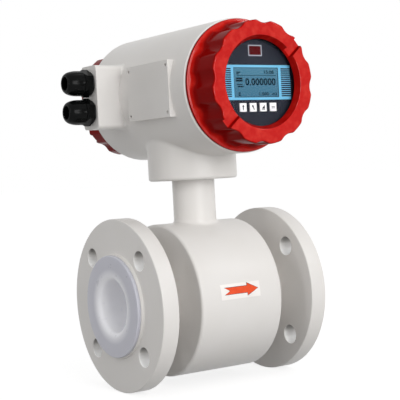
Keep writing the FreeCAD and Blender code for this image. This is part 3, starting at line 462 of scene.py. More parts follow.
# %% Make the liner's plastic
def liner_plastic():
    """Waxy plastic, painted paler and faintly glowing towards the bore: painted light."""
    finish = Finish("liner_plastic", (200, 200, 210), 0.32, Subsurface_Weight=0.4,
                    Subsurface_Scale=0.006, Subsurface_Radius=(1, 1, 1))
    # Painted light: colour lightened and a weak glow added near the axis.
    near = finish.between(finish.distance(), 1, 0, 0.025, 0.036)
    finish.tint(near, (248, 248, 251))
    finish.glow(near, (240, 239, 246), 0.05)
    finish.roughen(finish.noise(9.6, 2), 0.27, 0.4)
    finish.bump(finish.noise(1.6, 2), 0.02)


liner_plastic()

# %% [markdown]
# ### Metals
# Turned and rolled metal carries fine lines in one direction, which stretched noise
# gives. A winding is the same idea with a wave for its turns.

# %% Make the metals
METALS = {   # colour, shade, roughness, width of a line, stretch along X, Y and Z
    "magnet_steel": ((120, 122, 126), (98, 100, 104), 0.45, 1, (0.1, 1, 1)),
    "screw_steel": ((190, 192, 196), (160, 162, 168), 0.3, 0.5, (1, 1, 0.2)),
    "electrode_alloy": ((176, 174, 170), (150, 148, 144), 0.28, 0.5, (1, 0.2, 1)),
    "brass_spacer": ((196, 160, 92), (168, 134, 70), 0.32, 0.6, (1, 0.1, 1)),
}


def lined_metal(name, colour, shade, roughness, line, stretch):
    """Metal with fine lines: noise squeezed across them and drawn out along them."""
    finish = Finish(name, colour, roughness, Metallic=1.0)
    lines = finish.noise(line, 3, stretch)
    finish.tint(finish.between(lines, 0, 1), shade)
    finish.roughen(lines, roughness - 0.06, roughness + 0.1)
    finish.bump(lines, line * 0.02)


def wound_wire(name, colour, shade, wire):
    """Enamelled wire in turns along Z, each one wire thick."""
    finish = Finish(name, colour, 0.35, Metallic=0.8)
    turns = finish.node("ShaderNodeTexWave", bands_direction="Z")
    turns.inputs["Scale"].default_value = math.pi / (10 * wire * MM)
    finish.link(finish.place, turns.inputs["Vector"])
    finish.tint(turns.outputs["Fac"], shade)
    finish.bump(turns.outputs["Fac"], wire / 3)


for name, values in METALS.items():
    lined_metal(name, *values)
wound_wire("copper_winding", (170, 92, 52), (108, 52, 28), 0.6)

# %% [markdown]
# ### Boards, display and glass
# The boards are green with darker ground areas, which cells of a Voronoi texture
# suggest. The liquid crystal is lit from behind, so it gives a little light. The glass
# lets lamp light pass, because a path tracer would otherwise leave the panel behind it
# dark and noisy.

# %% Make the board, display and glass
def circuit_board():
    """Solder mask over areas of copper."""
    finish = Finish("circuit_board", (22, 84, 48), 0.35, Coat_Weight=0.4, Coat_Roughness=0.2)
    cells = finish.node("ShaderNodeTexVoronoi", distance="CHEBYCHEV")
    cells.inputs["Scale"].default_value = 1 / (6 * MM)
    finish.link(finish.place, cells.inputs["Vector"])
    finish.tint(finish.between(cells.outputs["Distance"], 0, 1), (16, 66, 38))
    finish.bump(cells.outputs["Distance"], 0.03)


def liquid_crystal():
    """The lit display: brighter at the top, with fine cells."""
    finish = Finish("lcd_screen", (72, 124, 148), 0.3, Specular_IOR_Level=0.15,
                    Emission_Color=linear((84, 142, 168)), Emission_Strength=0.05)
    low, high = (corner[2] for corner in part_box("lcd_module"))
    finish.tint(finish.between(finish.part(finish.place, "Z"), 1, 0, low, high), (52, 100, 126))
    finish.bump(finish.noise(0.6, 1), 0.004)


def window_glass():
    """Clear glass that lamps shine through; a faint waviness moves its reflections."""
    finish = Finish("clear_glass", (255, 255, 255), 0.02, Transmission_Weight=1.0, IOR=1.15)
    finish.bump(finish.noise(30, 1), 0.004)
    nodes = finish.tree.nodes
    path = finish.node("ShaderNodeLightPath").outputs
    open_way = finish.node("ShaderNodeBsdfTransparent").outputs[0]
    passing = math_node(finish.tree, "MAXIMUM", path["Is Shadow Ray"], path["Is Diffuse Ray"])
    mix = finish.node("ShaderNodeMixShader")
    sources = passing, nodes["Principled BSDF"].outputs[0], open_way
    for source, socket in zip(sources, mix.inputs):
        finish.link(source, socket)
    finish.link(mix.outputs[0], nodes["Material Output"].inputs["Surface"])


circuit_board()
liquid_crystal()
window_glass()
print(len(FINISHES), "finishes")

# %% [markdown]
# ### Give every CAD node its finish
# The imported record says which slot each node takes, and a slot is named as its finish.

# %% Dress the CAD nodes
def dress_cad_nodes():
    """Smooth shading and the finish of its slot for every node."""
    for part in frame["record"]["subparts"]:
        node = frame["nodes"][part["node"]]
        node.data.materials.clear()
        node.data.materials.append(FINISHES[part["material_slot"]])
        node.data.shade_smooth()


dress_cad_nodes()

# %% [markdown]
# ## Surfaces from arrays
# Each new piece is a grid of points that numpy works out in one go. This cell joins
# neighbouring points to faces, merges those that meet at a seam or a pole, turns all
# faces outwards, and keeps an edge sharp where the surface turns quickly.

# %% Make a mesh from a grid
SHARP_ANGLE = math.radians(32)


def grid_faces(rows, columns, closed):
    """The four corners of each cell of a grid whose points are numbered row by row."""
    index = np.arange(rows * columns).reshape(rows, columns)
    if closed:
        index = np.pad(index, (0, 1), mode="wrap")
    cells = [index[:-1, :-1], index[1:, :-1], index[1:, 1:], index[:-1, 1:]]
    return np.stack(cells, -1).reshape(-1, 4)


def shade(mesh):
    """Smooth shading with sharp edges where the surface turns quickly."""
    mesh.shade_smooth()
    mesh.set_sharp_from_angle(angle=SHARP_ANGLE)


def tidy_mesh(mesh):
    """Merges points closer than a micrometre, turns faces outwards, and sets the shading."""
    work = bmesh.new()
    work.from_mesh(mesh)
    bmesh.ops.remove_doubles(work, verts=work.verts, dist=1e-6)
    bmesh.ops.dissolve_degenerate(work, edges=work.edges, dist=1e-7)
    bmesh.ops.recalc_face_normals(work, faces=work.faces)
    work.to_mesh(mesh)
    work.free()
    shade(mesh)


def new_mesh(name, points, faces):
    """A mesh from points in metres and the corners of its faces."""
    mesh = bpy.data.meshes.new(name)
    mesh.from_pydata(points.reshape(-1, 3).tolist(), [], faces)
    return mesh


def set_up(name, mesh, finish, body="meter"):
    """An object at the origin for a mesh, with its finish, riding on a body."""
    made = add(name, mesh)
    if finish:
        mesh.materials.clear()
        mesh.materials.append(FINISHES[finish])
        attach(made, body)
        print(f"{name}: {len(mesh.polygons)} faces")
    return made


def piece(name, points, faces, finish, body="meter"):
    """A piece whose meeting points are merged and whose faces look outwards."""
    mesh = new_mesh(name, points, faces.tolist())
    tidy_mesh(mesh)
    return set_up(name, mesh, finish, body)


def surface(name, grid, finish, body="meter"):
    """A piece from a grid of points (rows, columns, xyz), closed both ways."""
    return piece(name, grid, grid_faces(*grid.shape[:2], True), finish, body)


# %% [markdown]
# ## Turned pieces
# A lathe carries an outline round an axis. The outline is written as its corners, each
# with its fillet, as a drawing states it. Arrays replace each corner by a short arc, so
# the light catches the edges as it does on real metal.

# %% Round an outline and turn it
TURN_STEPS, ARC_STEPS = 160, 5


def unit(vectors):
    """Rows scaled to length 1."""
    return vectors / np.linalg.norm(vectors, axis=1)[:, None]


def rounded(corners):
    """Outline corners (along, radius, fillet) as points.

    The arc's centre lies on the corner's bisector at fillet / sin(half angle), and its
    points go from one touching point to the other at equal angles."""
    corners = np.array(corners, float) * MM
    place, fillet = corners[:, :2], corners[:, 2]
    before, after = unit(np.roll(place, 1, 0) - place), unit(np.roll(place, -1, 0) - place)
    angle = np.arccos(np.clip((before * after).sum(1), -1, 1))
    centre = place + unit(before + after) * (fillet / np.sin(angle / 2))[:, None]
    reach = (fillet / np.tan(angle / 2))[:, None]
    first, last = place + before * reach - centre, place + after * reach - centre
    sweep = (np.pi - angle)[:, None]
    share = np.linspace(0, 1, ARC_STEPS + 1)[None, :]
    weight_first = np.sin((1 - share) * sweep) / np.sin(sweep)
    weight_last = np.sin(share * sweep) / np.sin(sweep)
    arcs = (centre[:, None] + weight_first[..., None] * first[:, None]
            + weight_last[..., None] * last[:, None])
    points = np.where(fillet[:, None, None] > 0, arcs, place[:, None]).reshape(-1, 2)
    keep = np.linalg.norm(points - np.roll(points, 1, 0), axis=1) > 1e-7
    return points[keep]


def round_axis(along, radius, angle, origin, axis):
    """Points at origin + along * axis + radius * (cos(angle) * side + sin(angle) * other)."""
    side = X if abs(axis[0]) < 0.5 else Y
    other = Z if abs(axis[2]) < 0.5 else Y
    spoke = np.cos(angle)[..., None] * side + np.sin(angle)[..., None] * other
    return np.array(origin) + along[..., None] * axis + radius[..., None] * spoke


def turned(name, corners, origin, axis, finish, steps=TURN_STEPS):
    """An outline carried round an axis."""
    outline = rounded(corners)
    angle = np.linspace(0, 2 * np.pi, steps, endpoint=False)
    along, turn = np.meshgrid(outline[:, 0], angle, indexing="ij")
    radius = np.repeat(outline[:, 1:], steps, 1)
    return surface(name, round_axis(along, radius, turn, origin, axis), finish)


# %% [markdown]
# ## Holes
# A Boolean difference with turned cutters makes the bolt holes. The cutters widen at
# their ends, which breaks the hole's edges in the same step.

# %% Cut holes out of a piece
def carve(target, cutters):
    """Subtracts each cutter from target, stores the result and removes the cutters."""
    for cutter in cutters:
        step = target.modifiers.new("cut", "BOOLEAN")
        step.operation, step.solver, step.object = "DIFFERENCE", "EXACT", cutter
    scene_graph = bpy.context.evaluated_depsgraph_get()
    mesh = bpy.data.meshes.new_from_object(target.evaluated_get(scene_graph))
    target.modifiers.clear()
    target.data = mesh
    shade(mesh)
    for cutter in cutters:
        bpy.data.objects.remove(cutter)


# %% [markdown]
# ## Flanges
# Each flange is a turned steel ring with a raised face and four bolt holes at 45 degrees.
# Its edges are rounded by a good millimetre, as a powder-coated edge looks, and the
# raised face meets the flange in a small fillet.

# %% Turn the flanges and drill them
RAISED_FACE_R, RAISED_FACE_H = 49.5, 3.0
TUBE_R = 30.15
FLANGE_EDGE_R = 1.2
HOLE_EDGE, HOLE_EDGE_WIDENING, CUTTER_OVERLAP = 0.6, 1.6, 1.0
back, front, rim = (v / MM for v in (FLANGE_BACK_X, FLANGE_FRONT_X, FLANGE_R))
face = front - RAISED_FACE_H


def bolt_cutter(side, turn):
    """A round cutter that widens at both faces of the flange."""
    wide = BOLT_HOLE_R + HOLE_EDGE_WIDENING
    low, high = back - CUTTER_OVERLAP, face + CUTTER_OVERLAP
    corners = [(low, 0, 0), (low, wide, 0), (back + HOLE_EDGE, BOLT_HOLE_R, 0),
               (face - HOLE_EDGE, BOLT_HOLE_R, 0), (high, wide, 0), (high, 0, 0)]
    y, z = BOLT_CIRCLE_R * MM * math.cos(turn), BOLT_CIRCLE_R * MM * math.sin(turn)
    return turned("cutter", corners, (0, y, z), X * side, None, steps=64)


def flange(name, side):
    """The flange's ring with its four holes."""
    corners = [(back, TUBE_R, 0), (back, rim, FLANGE_EDGE_R), (face, rim, FLANGE_EDGE_R),
               (face, RAISED_FACE_R, 0.8), (front, RAISED_FACE_R, 0.4), (front, TUBE_R, 0)]
    ring = turned(name + "_painted", corners, (0, 0, 0), X * side, "flange_paint")
    carve(ring, [bolt_cutter(side, math.radians(45 + 90 * k)) for k in range(4)])
    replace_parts(ring, name)


flange("inlet_flange", -1)
flange("outlet_flange", 1)

# %% [markdown]
# ## Liner
# The lining is turned out over both raised faces, with a large soft lip at the bore. One
# closed outline makes the tube and both flares.

# %% Turn the liner
BORE_R, LINER_OUT_R, FLARE_R, FLARE_T = 25.0, 28.0, 48.4, 3.2
LIP_R, FLARE_EDGE_R, FLARE_BACK_R = 5.0, 0.9, 0.2


def liner():
    """The outline of one half, from the middle of the bore outwards, and its mirror."""
    end = cad_box[1][0] / MM
    half = [(end, BORE_R, LIP_R), (end, FLARE_R, FLARE_EDGE_R),
            (end - FLARE_T, FLARE_R, FLARE_BACK_R), (end - FLARE_T, LINER_OUT_R, 0)]
    mirrored = [(-along, radius, fillet) for along, radius, fillet in half[::-1]]
    corners = mirrored[-1:] + half + mirrored[:-1]
    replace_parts(turned("liner_moulded", corners, (0, 0, 0), X, "liner_plastic"), "liner")


liner()

# %% [markdown]
# ## Coil housing
# The housing is rolled sheet whose ground welds leave its ends rounded. It is turned as a
# thick ring, and a round cutter opens it for the neck.

# %% Turn the coil housing
HOUSING_WALL, HOUSING_EDGE_R = 3.0, 2.4


def coil_housing():
    """A ring with rounded ends and an opening as wide as the neck."""
    half, outer, neck = HOUSING_END_X / MM, HOUSING_R / MM, NECK_R / MM
    inner, above = outer - HOUSING_WALL, outer + 5
    corners = [(-half, inner, 0), (-half, outer, HOUSING_EDGE_R),
               (half, outer, HOUSING_EDGE_R), (half, inner, 0)]
    ring = turned("coil_housing_painted", corners, (0, 0, 0), X, "light_grey_paint", steps=240)
    opening = [(0, 0, 0), (0, neck, 0), (above, neck, 0), (above, 0, 0)]
    carve(ring, [turned("cutter", opening, (0, 0, 0), Z, None, steps=96)])
    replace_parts(ring, "coil_housing")


coil_housing()

# %% [markdown]
# ## Lids
# Both lids share one outline: a thread, a flat base ring, a flare, a barrel with twelve
# finger grips and a front ring with two spanner slots. The lid is one grid of rows
# (stations along the outline) and columns (angles). Each row says how much of the grips'
# depth and of the thread it takes. The slots push points down along the axis, and the
# columns run parallel to the slot walls near them.

# %% State the lid's outline
GRIP_COUNT, GRIP_DEPTH, GRIP_CUTTER_R, GRIP_SOFTNESS = 12, 2.6, 14.0, 1.4
SLOT_TURN, SLOT_HALF, SLOT_FLOOR, SLOT_WALL = math.radians(41), 4.5, 4.0, 0.35
SLOT_NEAR, SLOT_FAR, SLOT_MIN_R = math.radians(6), math.radians(14), 38.0
THREAD_PITCH, THREAD_DEPTH, THREAD_FADE, RELIEF_DEPTH = 1.5, 0.8, (2.9, 3.6), 2.2
FLARE_START, FLARE_LENGTH = 3.0, 8.0
LID_EDGE_R, RING_INNER_R = 1.4, 46.0
base_r, depth = LID_BASE_R / MM, (LID_END_Y - RIM_Y) / MM
barrel_r, skirt_r, cavity_r = base_r - 5.3, base_r - 4.8, base_r - 12.0
window_r = barrel_r - 14.0


def station(along, radius, grip=0.0, thread=0.0):
    """Rows of (along, radius, share of grip, share of thread), each a number or an array."""
    values = (np.atleast_1d(value) for value in (along, radius, grip, thread))
    return np.stack(np.broadcast_arrays(*values), 1)


def lid_outside():
    """Rows from the thread's end over the base ring, flare and barrel to the front ring.

    The flare is a quarter of an ellipse, and the grips grow with its sine."""
    quarter = np.linspace(0, np.pi / 2, 11)
    edge = np.linspace(0, np.pi / 2, 6)
    share = np.array([0.12, 0.3, 0.6, 1.0])
    ring_r, flare_r, relief_r = barrel_r - LID_EDGE_R, base_r - 0.9, skirt_r - RELIEF_DEPTH
    return np.vstack([
        station(-10.0, [cavity_r + 0.4, skirt_r - 0.8]), station(-9.6, skirt_r - 0.4),
        station(np.arange(-9.4, -2.8, 0.15), skirt_r, 0, 1),
        station([-2.6, -2.5, 0.3], [skirt_r, relief_r, relief_r]),
        station([0.3, 0.45, 0.8], [base_r - 0.5, base_r - 0.15, base_r]),
        station([2.4, 2.8, FLARE_START], [base_r, base_r - 0.15, base_r - 0.6]),
        station(FLARE_START + FLARE_LENGTH * (1 - np.cos(quarter)),
                flare_r - (flare_r - barrel_r) * np.sin(quarter), np.sin(quarter))[1:],
        station([16, 24, 30, 31, depth - SLOT_FLOOR, 31.7, 32.6], barrel_r, 1),
        station(depth - LID_EDGE_R * (1 - np.sin(edge)), ring_r + LID_EDGE_R * np.cos(edge), 1),
        station(depth, ring_r + (RING_INNER_R - ring_r) * share, 1 - share)])


# %% [markdown]
# The grips are circles that bite into the barrel. A smooth minimum of barrel and circle
# rounds the lobes: it is the smaller of the two, less a little where both are nearly equal.

# %% Work out the lid's surface
def grip_radius(angle):
    """Barrel radius at an angle, with circles centred outside the barrel biting into it."""
    centre = barrel_r - GRIP_DEPTH + GRIP_CUTTER_R
    pitch = 2 * np.pi / GRIP_COUNT
    off = (angle - SLOT_TURN) % pitch - pitch / 2
    inside = np.maximum(GRIP_CUTTER_R ** 2 - (centre * np.sin(off)) ** 2, 0)
    circle = centre * np.cos(off) - np.sqrt(inside)
    near = np.maximum(GRIP_SOFTNESS - np.abs(circle - barrel_r), 0) / GRIP_SOFTNESS
    return np.minimum(circle, barrel_r) - near ** 2 * GRIP_SOFTNESS / 4


def smooth_step(value, low, high):
    """0 below low, 1 above high, and an S-shaped cubic between them."""
    share = np.clip((value - low) / (high - low), 0, 1)
    return share * share * (3 - 2 * share)


def lid_columns():
    """Angles of the columns, closer together where they cross a slot's wall."""
    plain = np.arange(0, 2 * np.pi, np.radians(1.0))
    walls = np.arcsin((SLOT_HALF + np.linspace(-2, 2, 7) * SLOT_WALL) / barrel_r)
    walls = SLOT_TURN + np.concatenate([walls, -walls])
    return np.unique(np.round(np.concatenate([plain, walls, walls + np.pi]) % (2 * np.pi), 6))


def lid_grid(rows):
    """Along, radius and angle of every point of a lid.

    Near a slot the angle is arcsin(distance from the slot's line / radius), so a column
    keeps that distance; away from it the columns are plain rays."""
    along, radius, grip, thread = (rows[:, k:k + 1] for k in range(4))
    column = lid_columns()[None, :]
    off = (column - SLOT_TURN + np.pi / 2) % np.pi - np.pi / 2
    parallel = np.arcsin(np.clip(barrel_r * np.sin(off) / np.maximum(radius, SLOT_MIN_R), -1, 1))
    near = 1 - smooth_step(np.abs(off), SLOT_NEAR, SLOT_FAR)
    angle = column + near * (parallel - off)
    turn = (along / THREAD_PITCH + column / (2 * np.pi)) % 1
    groove = THREAD_DEPTH * (1 - np.abs(2 * turn - 1)) * smooth_step(-along, *THREAD_FADE)
    grown = radius - grip * (barrel_r - grip_radius(angle)) - thread * groove
    distance = np.abs(grown * np.sin(angle - SLOT_TURN))
    in_slot = 1 - smooth_step(distance, SLOT_HALF - SLOT_WALL, SLOT_HALF + SLOT_WALL)
    in_slot = in_slot * smooth_step(radius, window_r - 3.6, window_r - 3.5)
    lowered = along - in_slot * np.maximum(along - (depth - SLOT_FLOOR), 0)
    return lowered * MM, grown * MM, angle


def lid(name, inside, side):
    """A lid from its shared outside and its own inside, set on the rim of the casting."""
    rows = np.vstack([lid_outside(), inside])
    grid = round_axis(*lid_grid(rows), AXIS + Y * side * RIM_Y, Y * side)
    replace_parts(surface(name + "_painted", grid, "red_lid_paint", name), name)


# %% [markdown]
# The window lid steps back to a lip that holds the glass from the front, and has a
# groove for the retaining ring behind it. The blind lid has a shallow dish instead.

# %% Make both lids
LIP_BACK, GLASS_BACK, GROOVE_BACK, SEAT_BACK = 29.3, 25.0, 24.0, 23.0
seat_r, groove_r, lip_r = cavity_r - 3.0, cavity_r - 2.2, window_r - 3.0
WINDOW = [(depth, window_r + 0.7), (depth - 0.2, window_r + 0.2), (depth - 0.7, window_r - 0.1),
          (depth - 3.0, window_r - 1.4), (LIP_BACK + 0.5, lip_r + 0.15),
          (LIP_BACK + 0.1, lip_r + 0.2), (LIP_BACK, lip_r + 0.6), (LIP_BACK, seat_r),
          (GLASS_BACK, seat_r), (GLASS_BACK, groove_r), (GROOVE_BACK, groove_r),
          (GROOVE_BACK, seat_r), (SEAT_BACK, seat_r), (SEAT_BACK, cavity_r)]
DISH = [(depth, window_r + 0.9), (depth - 0.2, window_r + 0.2), (depth - 1.2, window_r - 0.8),
        (depth - 1.5, window_r - 1.6), (depth - 1.5, 20), (depth - 1.3, 0), (depth - 5.3, 0),
        (depth - 5.3, cavity_r)]
lid("front_lid", station(*zip(*WINDOW)), -1)
lid("rear_lid", station(*zip(*DISH)), 1)

# %% [markdown]
# ## Gland nuts
# A cable gland's cap nut has a straight grip with shallow flutes, and a dome that closes
# round the cable's seal. The flutes fade into the dome, so a row's share of them falls.

# %% Mould the gland nuts
NUT_START, NUT_END, NUT_R, NUT_FLAT_R = 9.8, 27.0, 12.25, 6.9
NUT_BORE_R, NUT_EXIT_R, NUT_WALL_END = 10.35, 6.4, 21.0
FLUTES, FLUTE_DEPTH, DOME_LENGTH = 16, 0.25, 12.5


def gland_nut(name):
    """The dome is a quarter of an ellipse; flutes are the dips of a raised cosine."""
    low, high = np.array(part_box(name))
    centre = np.array([low[0] + NUT_END * MM, (low[1] + high[1]) / 2, (low[2] + high[2]) / 2])
    quarter = np.linspace(0, np.pi / 2, 14)
    swell = (NUT_R - NUT_FLAT_R) * np.cos(quarter) ** 0.9
    rows = np.vstack([
        station([NUT_START, NUT_START, NUT_START + 0.4], [NUT_BORE_R, NUT_R - 0.5, NUT_R - 0.1]),
        station([NUT_START + 0.8, NUT_START + 1.2], NUT_R, [0, 1]),
        station(NUT_END - DOME_LENGTH * (1 - np.sin(quarter)), NUT_FLAT_R + swell,
                np.cos(quarter) ** 6),
        station([NUT_END, NUT_END - 0.6, NUT_WALL_END, NUT_WALL_END],
                [NUT_EXIT_R + 0.4, NUT_EXIT_R, NUT_EXIT_R, NUT_BORE_R])])
    turn = np.linspace(0, 2 * np.pi, 192, endpoint=False)[None, :]
    dip = ((1 + np.cos(FLUTES * turn)) / 2) ** 3 * FLUTE_DEPTH
    radius = rows[:, 1:2] - rows[:, 2:3] * dip
    along, radius, angle = np.broadcast_arrays(rows[:, :1], radius, turn)
    grid = round_axis(along * MM, radius * MM, angle, centre, -X)
    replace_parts(surface(name + "_moulded", grid, "black_plastic", name), name)


gland_nut("upper_gland_nut")
gland_nut("lower_gland_nut")

# %% [markdown]
# ## Fillets of the casting
# Where the foot and the cable boss leave the round barrel, a casting has a soft fillet.
# A bevel on a Boolean's edge is often ragged, and a strip is surer: along the curve where
# both surfaces meet, a curve with three controls starts on one surface, is pulled to the
# corner, and ends on the other. So is the dressed weld round the neck.

# %% Sweep the fillets
FOOT_R, FOOT_FILLET, BOSS_FILLET, WELD_LEG = 43.8 * MM, 3.2 * MM, 3.5 * MM, 4.0 * MM
BOSS_HALF, BOSS_CORNER_R, BOSS_Y = np.array([14.5, 31]) * MM, 4 * MM, 43 * MM
BOSS_STEPS = 10
STRIP_STEPS, STRIP_SINK = 8, 0.6 * MM
BARREL, HOUSING = (AXIS, (1, 0, 1), BARREL_R), (np.zeros(3), (0, 1, 1), HOUSING_R)


def fillet_strip(name, corner, first, second):
    """Section: corner + (1 - s)^2 * first + s^2 * second, closed through a point inside.

    corner, first and second are arrays (points, xyz) along a closed curve."""
    share = np.linspace(0, 1, STRIP_STEPS)[:, None, None]
    section = corner + (1 - share) ** 2 * first + share ** 2 * second
    inside = corner - unit(first + second) * STRIP_SINK
    surface(name, np.concatenate([section, inside[None]]), "light_grey_paint")


def on_round(points, direction, reach, centre, across, radius):
    """Steps from points along direction, put back on a cylinder's surface.

    across is 1 for the two coordinates in which the cylinder is round, else 0."""
    radial = unit((points - centre) * across)
    along = direction - (direction * radial).sum(1)[:, None] * radial
    moved = points + unit(along) * reach
    back_on = centre * across + unit((moved - centre) * across) * radius
    return back_on + moved * (1 - np.array(across)) - points


def around(radius):
    """Outward directions about Z, and the points at a radius along them."""
    turn = np.linspace(0, 2 * np.pi, 180, endpoint=False)
    outward = np.stack([np.cos(turn), np.sin(turn), 0 * turn], 1)
    return outward, outward * radius


def foot_fillet():
    """Round the foot: x and y on its circle, z where the barrel is above them."""
    outward, corner = around(FOOT_R)
    corner[:, 2] = AXIS_Z - np.sqrt(BARREL_R ** 2 - corner[:, 0] ** 2)
    down = np.broadcast_to(-Z * FOOT_FILLET, corner.shape)
    fillet_strip("foot_fillet", corner, down, on_round(corner, outward, FOOT_FILLET, *BARREL))


def boss_fillet():
    """Round the cable boss: a rectangle with round corners, carried along X to the barrel."""
    turn = np.linspace(0, np.pi / 2, BOSS_STEPS)
    turns = np.concatenate([turn + k * np.pi / 2 for k in range(4)])
    sign = np.repeat([[1, 1], [-1, 1], [-1, -1], [1, -1]], BOSS_STEPS, 0)
    normal = np.stack([np.cos(turns), np.sin(turns)], 1)
    outline = sign * (BOSS_HALF - BOSS_CORNER_R) + normal * BOSS_CORNER_R
    left = -np.sqrt(BARREL_R ** 2 - outline[:, 1] ** 2)
    corner = np.insert(outline + (BOSS_Y, AXIS_Z), 0, left, axis=1)
    outward = np.insert(normal, 0, 0, axis=1)
    along = np.broadcast_to(-X * BOSS_FILLET, corner.shape)
    onto = on_round(corner, outward, BOSS_FILLET, *BARREL)
    fillet_strip("cable_boss_fillet", corner, along, onto)


def neck_weld():
    """The dressed weld from the neck to the housing's round."""
    outward, corner = around(NECK_R)
    corner[:, 2] = np.sqrt(HOUSING_R ** 2 - corner[:, 1] ** 2)
    down = on_round(corner, outward, WELD_LEG, *HOUSING)
    fillet_strip("neck_weld", corner, np.broadcast_to(Z * WELD_LEG, corner.shape), down)


foot_fillet()
boss_fillet()
neck_weld()

# %% [markdown]
# ## Display
# Behind the glass a light-blue band frames the liquid crystal. Its ends are printed with
# dark bars, which are thin plates here. One mesh holds them all: a box of eight corners,
# copied by adding each bar's centre. Places are millimetres from the converter's axis.

# %% Print the band's bars
BAND_TOP, BAND_BOTTOM = 16.25, -15.25
BAND_BARS, BAR_HEIGHT = 14, 1.2
BAND_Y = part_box("display_bezel")[0][1] / MM
LCD_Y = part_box("lcd_module")[0][1] / MM
LCD_HALF, BAND_HALF = 25.2, 38.9
CUBE = np.array([(0, 1, 3, 2), (4, 6, 7, 5), (0, 4, 5, 1), (2, 3, 7, 6), (0, 2, 6, 4),
                 (1, 5, 7, 3)])


def boxes(name, centres, sizes, finish):
    """Many small blocks in one mesh: each centre plus or minus half its size."""
    centres = np.array(centres, float)
    sizes = np.broadcast_to(np.array(sizes, float), centres.shape)
    signs = np.array([[i, j, k] for i in (-1, 1) for j in (-1, 1) for k in (-1, 1)])
    points = centres[:, None] + signs[None] * sizes[:, None] / 2
    faces = (np.arange(len(centres)) * 8)[:, None, None] + CUBE[None]
    piece(name, (points + AXIS / MM) * MM, faces.reshape(-1, 4), finish)


def band_bars():
    """Dark bars from the display's frame to the band's ends, evenly spaced in height."""
    inner = LCD_HALF + 3.0
    middle, width = (BAND_HALF + inner) / 2, BAND_HALF - inner
    rises = np.linspace(BAND_BOTTOM + 3.4, BAND_TOP - 3.4, BAND_BARS)
    centres = [(x, BAND_Y - 0.03, rise) for x in (-middle, middle) for rise in rises]
    boxes("band_bars", centres, (width, 0.08, BAR_HEIGHT), "panel_slate")


band_bars()

# %% [markdown]
# ### Frames
# The display's dark border and the pale frame of the infrared window are four bars each.

# %% Frame the display and the infrared window
INFRARED_RISE, INFRARED_HALF_WIDTH, INFRARED_HALF_HEIGHT = 29.4, 7.0, 4.6


def frame_bars(name, half_width, half_height, middle, y, bar, finish):
    """Four bars round a rectangle, each between its outer and inner edge."""
    x, z = half_width - bar / 2, half_height - bar / 2
    centres = [(x, y, middle), (-x, y, middle), (0, y, middle + z), (0, y, middle - z)]
    sizes = [(bar, 0.12, 2 * half_height)] * 2 + [(2 * half_width, 0.1, bar)] * 2
    boxes(name, centres, sizes, finish)


frame_bars("infrared_frame", INFRARED_HALF_WIDTH + 0.6, INFRARED_HALF_HEIGHT + 0.4,
           INFRARED_RISE, BAND_Y - 0.02, 0.9, "window_trim")
frame_bars("display_frame", LCD_HALF + 0.2, 13.7, 0.5, LCD_Y - 0.15, 0.7, "panel_slate")

# %% [markdown]
# ## Reading and key symbols
# The liquid crystal shows a flow reading and a few small figures. Text becomes a mesh
# first, then its points are placed on the display, lifted by a twentieth of a millimetre
# so that they don't share the screen's plane.

# %% Write the figures on the display
INK_LIFT = 0.05
FIGURES = {   # text, width and height, place, boldness
    "reading": ("0.000000", (34.6, 6.8), (4.9, 1.1), 0.28),
    "upper_figures": ("15:08", (10.8, 3.4), (14.9, 9.8), 0.2),
    "lower_figures": ("1.000", (10.6, 3.0), (8.2, -9.9), 0.2),
    "lower_unit": ("m3", (5.0, 2.6), (20.2, -9.9), 0.2),
}
MARKS = np.array([   # place, width and height
    (0.5, 6.8, 44.5, 0.4), (-19.8, 9.7, 4.2, 1.0), (-20.6, 8.3, 2.6, 0.9),
    (-19.0, 4.1, 7.4, 1.5), (-19.0, 2.1, 7.4, 1.5), (-18.6, -1.4, 6.0, 0.8),
    (-17.8, -3.2, 6.4, 1.1), (-19.4, -9.0, 2.2, 1.1), (-19.4, -10.9, 2.6, 1.1)])


def ink(name, colour, other, grain, detail, roughness, gloss):
    """Print whose colour is a little uneven."""
    finish = Finish(name, colour, roughness, Specular_IOR_Level=gloss)
    finish.tint(finish.between(finish.noise(grain, detail), 0, 1), other)


ink("display_ink", (6, 18, 30), (10, 28, 42), 0.8, 1, 0.5, 0.02)


def at_depth(flat, y):
    """Points (x, rise) with y put between them."""
    return np.insert(flat, 1, y, axis=1)


def figures(name, text, size, place, bold):
    """A line of text as a mesh, stretched to a width and height about a place."""
    curve = bpy.data.curves.new(name, "FONT")
    curve.body, curve.size, curve.offset, curve.resolution_u = text, 10, bold, 2
    made = add(name, curve)
    scene_graph = bpy.context.evaluated_depsgraph_get()
    mesh = bpy.data.meshes.new_from_object(made.evaluated_get(scene_graph))
    bpy.data.objects.remove(made)
    flat = np.empty(len(mesh.vertices) * 3)
    mesh.vertices.foreach_get("co", flat)
    flat = flat.reshape(-1, 3)[:, :2]
    middle, extent = (flat.max(0) + flat.min(0)) / 2, np.ptp(flat, axis=0)
    placed = at_depth((flat - middle) / extent * size + place, LCD_Y - INK_LIFT)
    mesh.vertices.foreach_set("co", ((placed + AXIS / MM) * MM).ravel())
    set_up(name, mesh, "display_ink")


for name, values in FIGURES.items():
    figures(name, *values)
boxes("display_marks", at_depth(MARKS[:, :2], LCD_Y - INK_LIFT), at_depth(MARKS[:, 2:], 0.04),
      "display_ink")

# %% [markdown]
# Key symbols are flat polygons: an upward arrow, a slanting one, a ramp with its foot,
# and a double line.

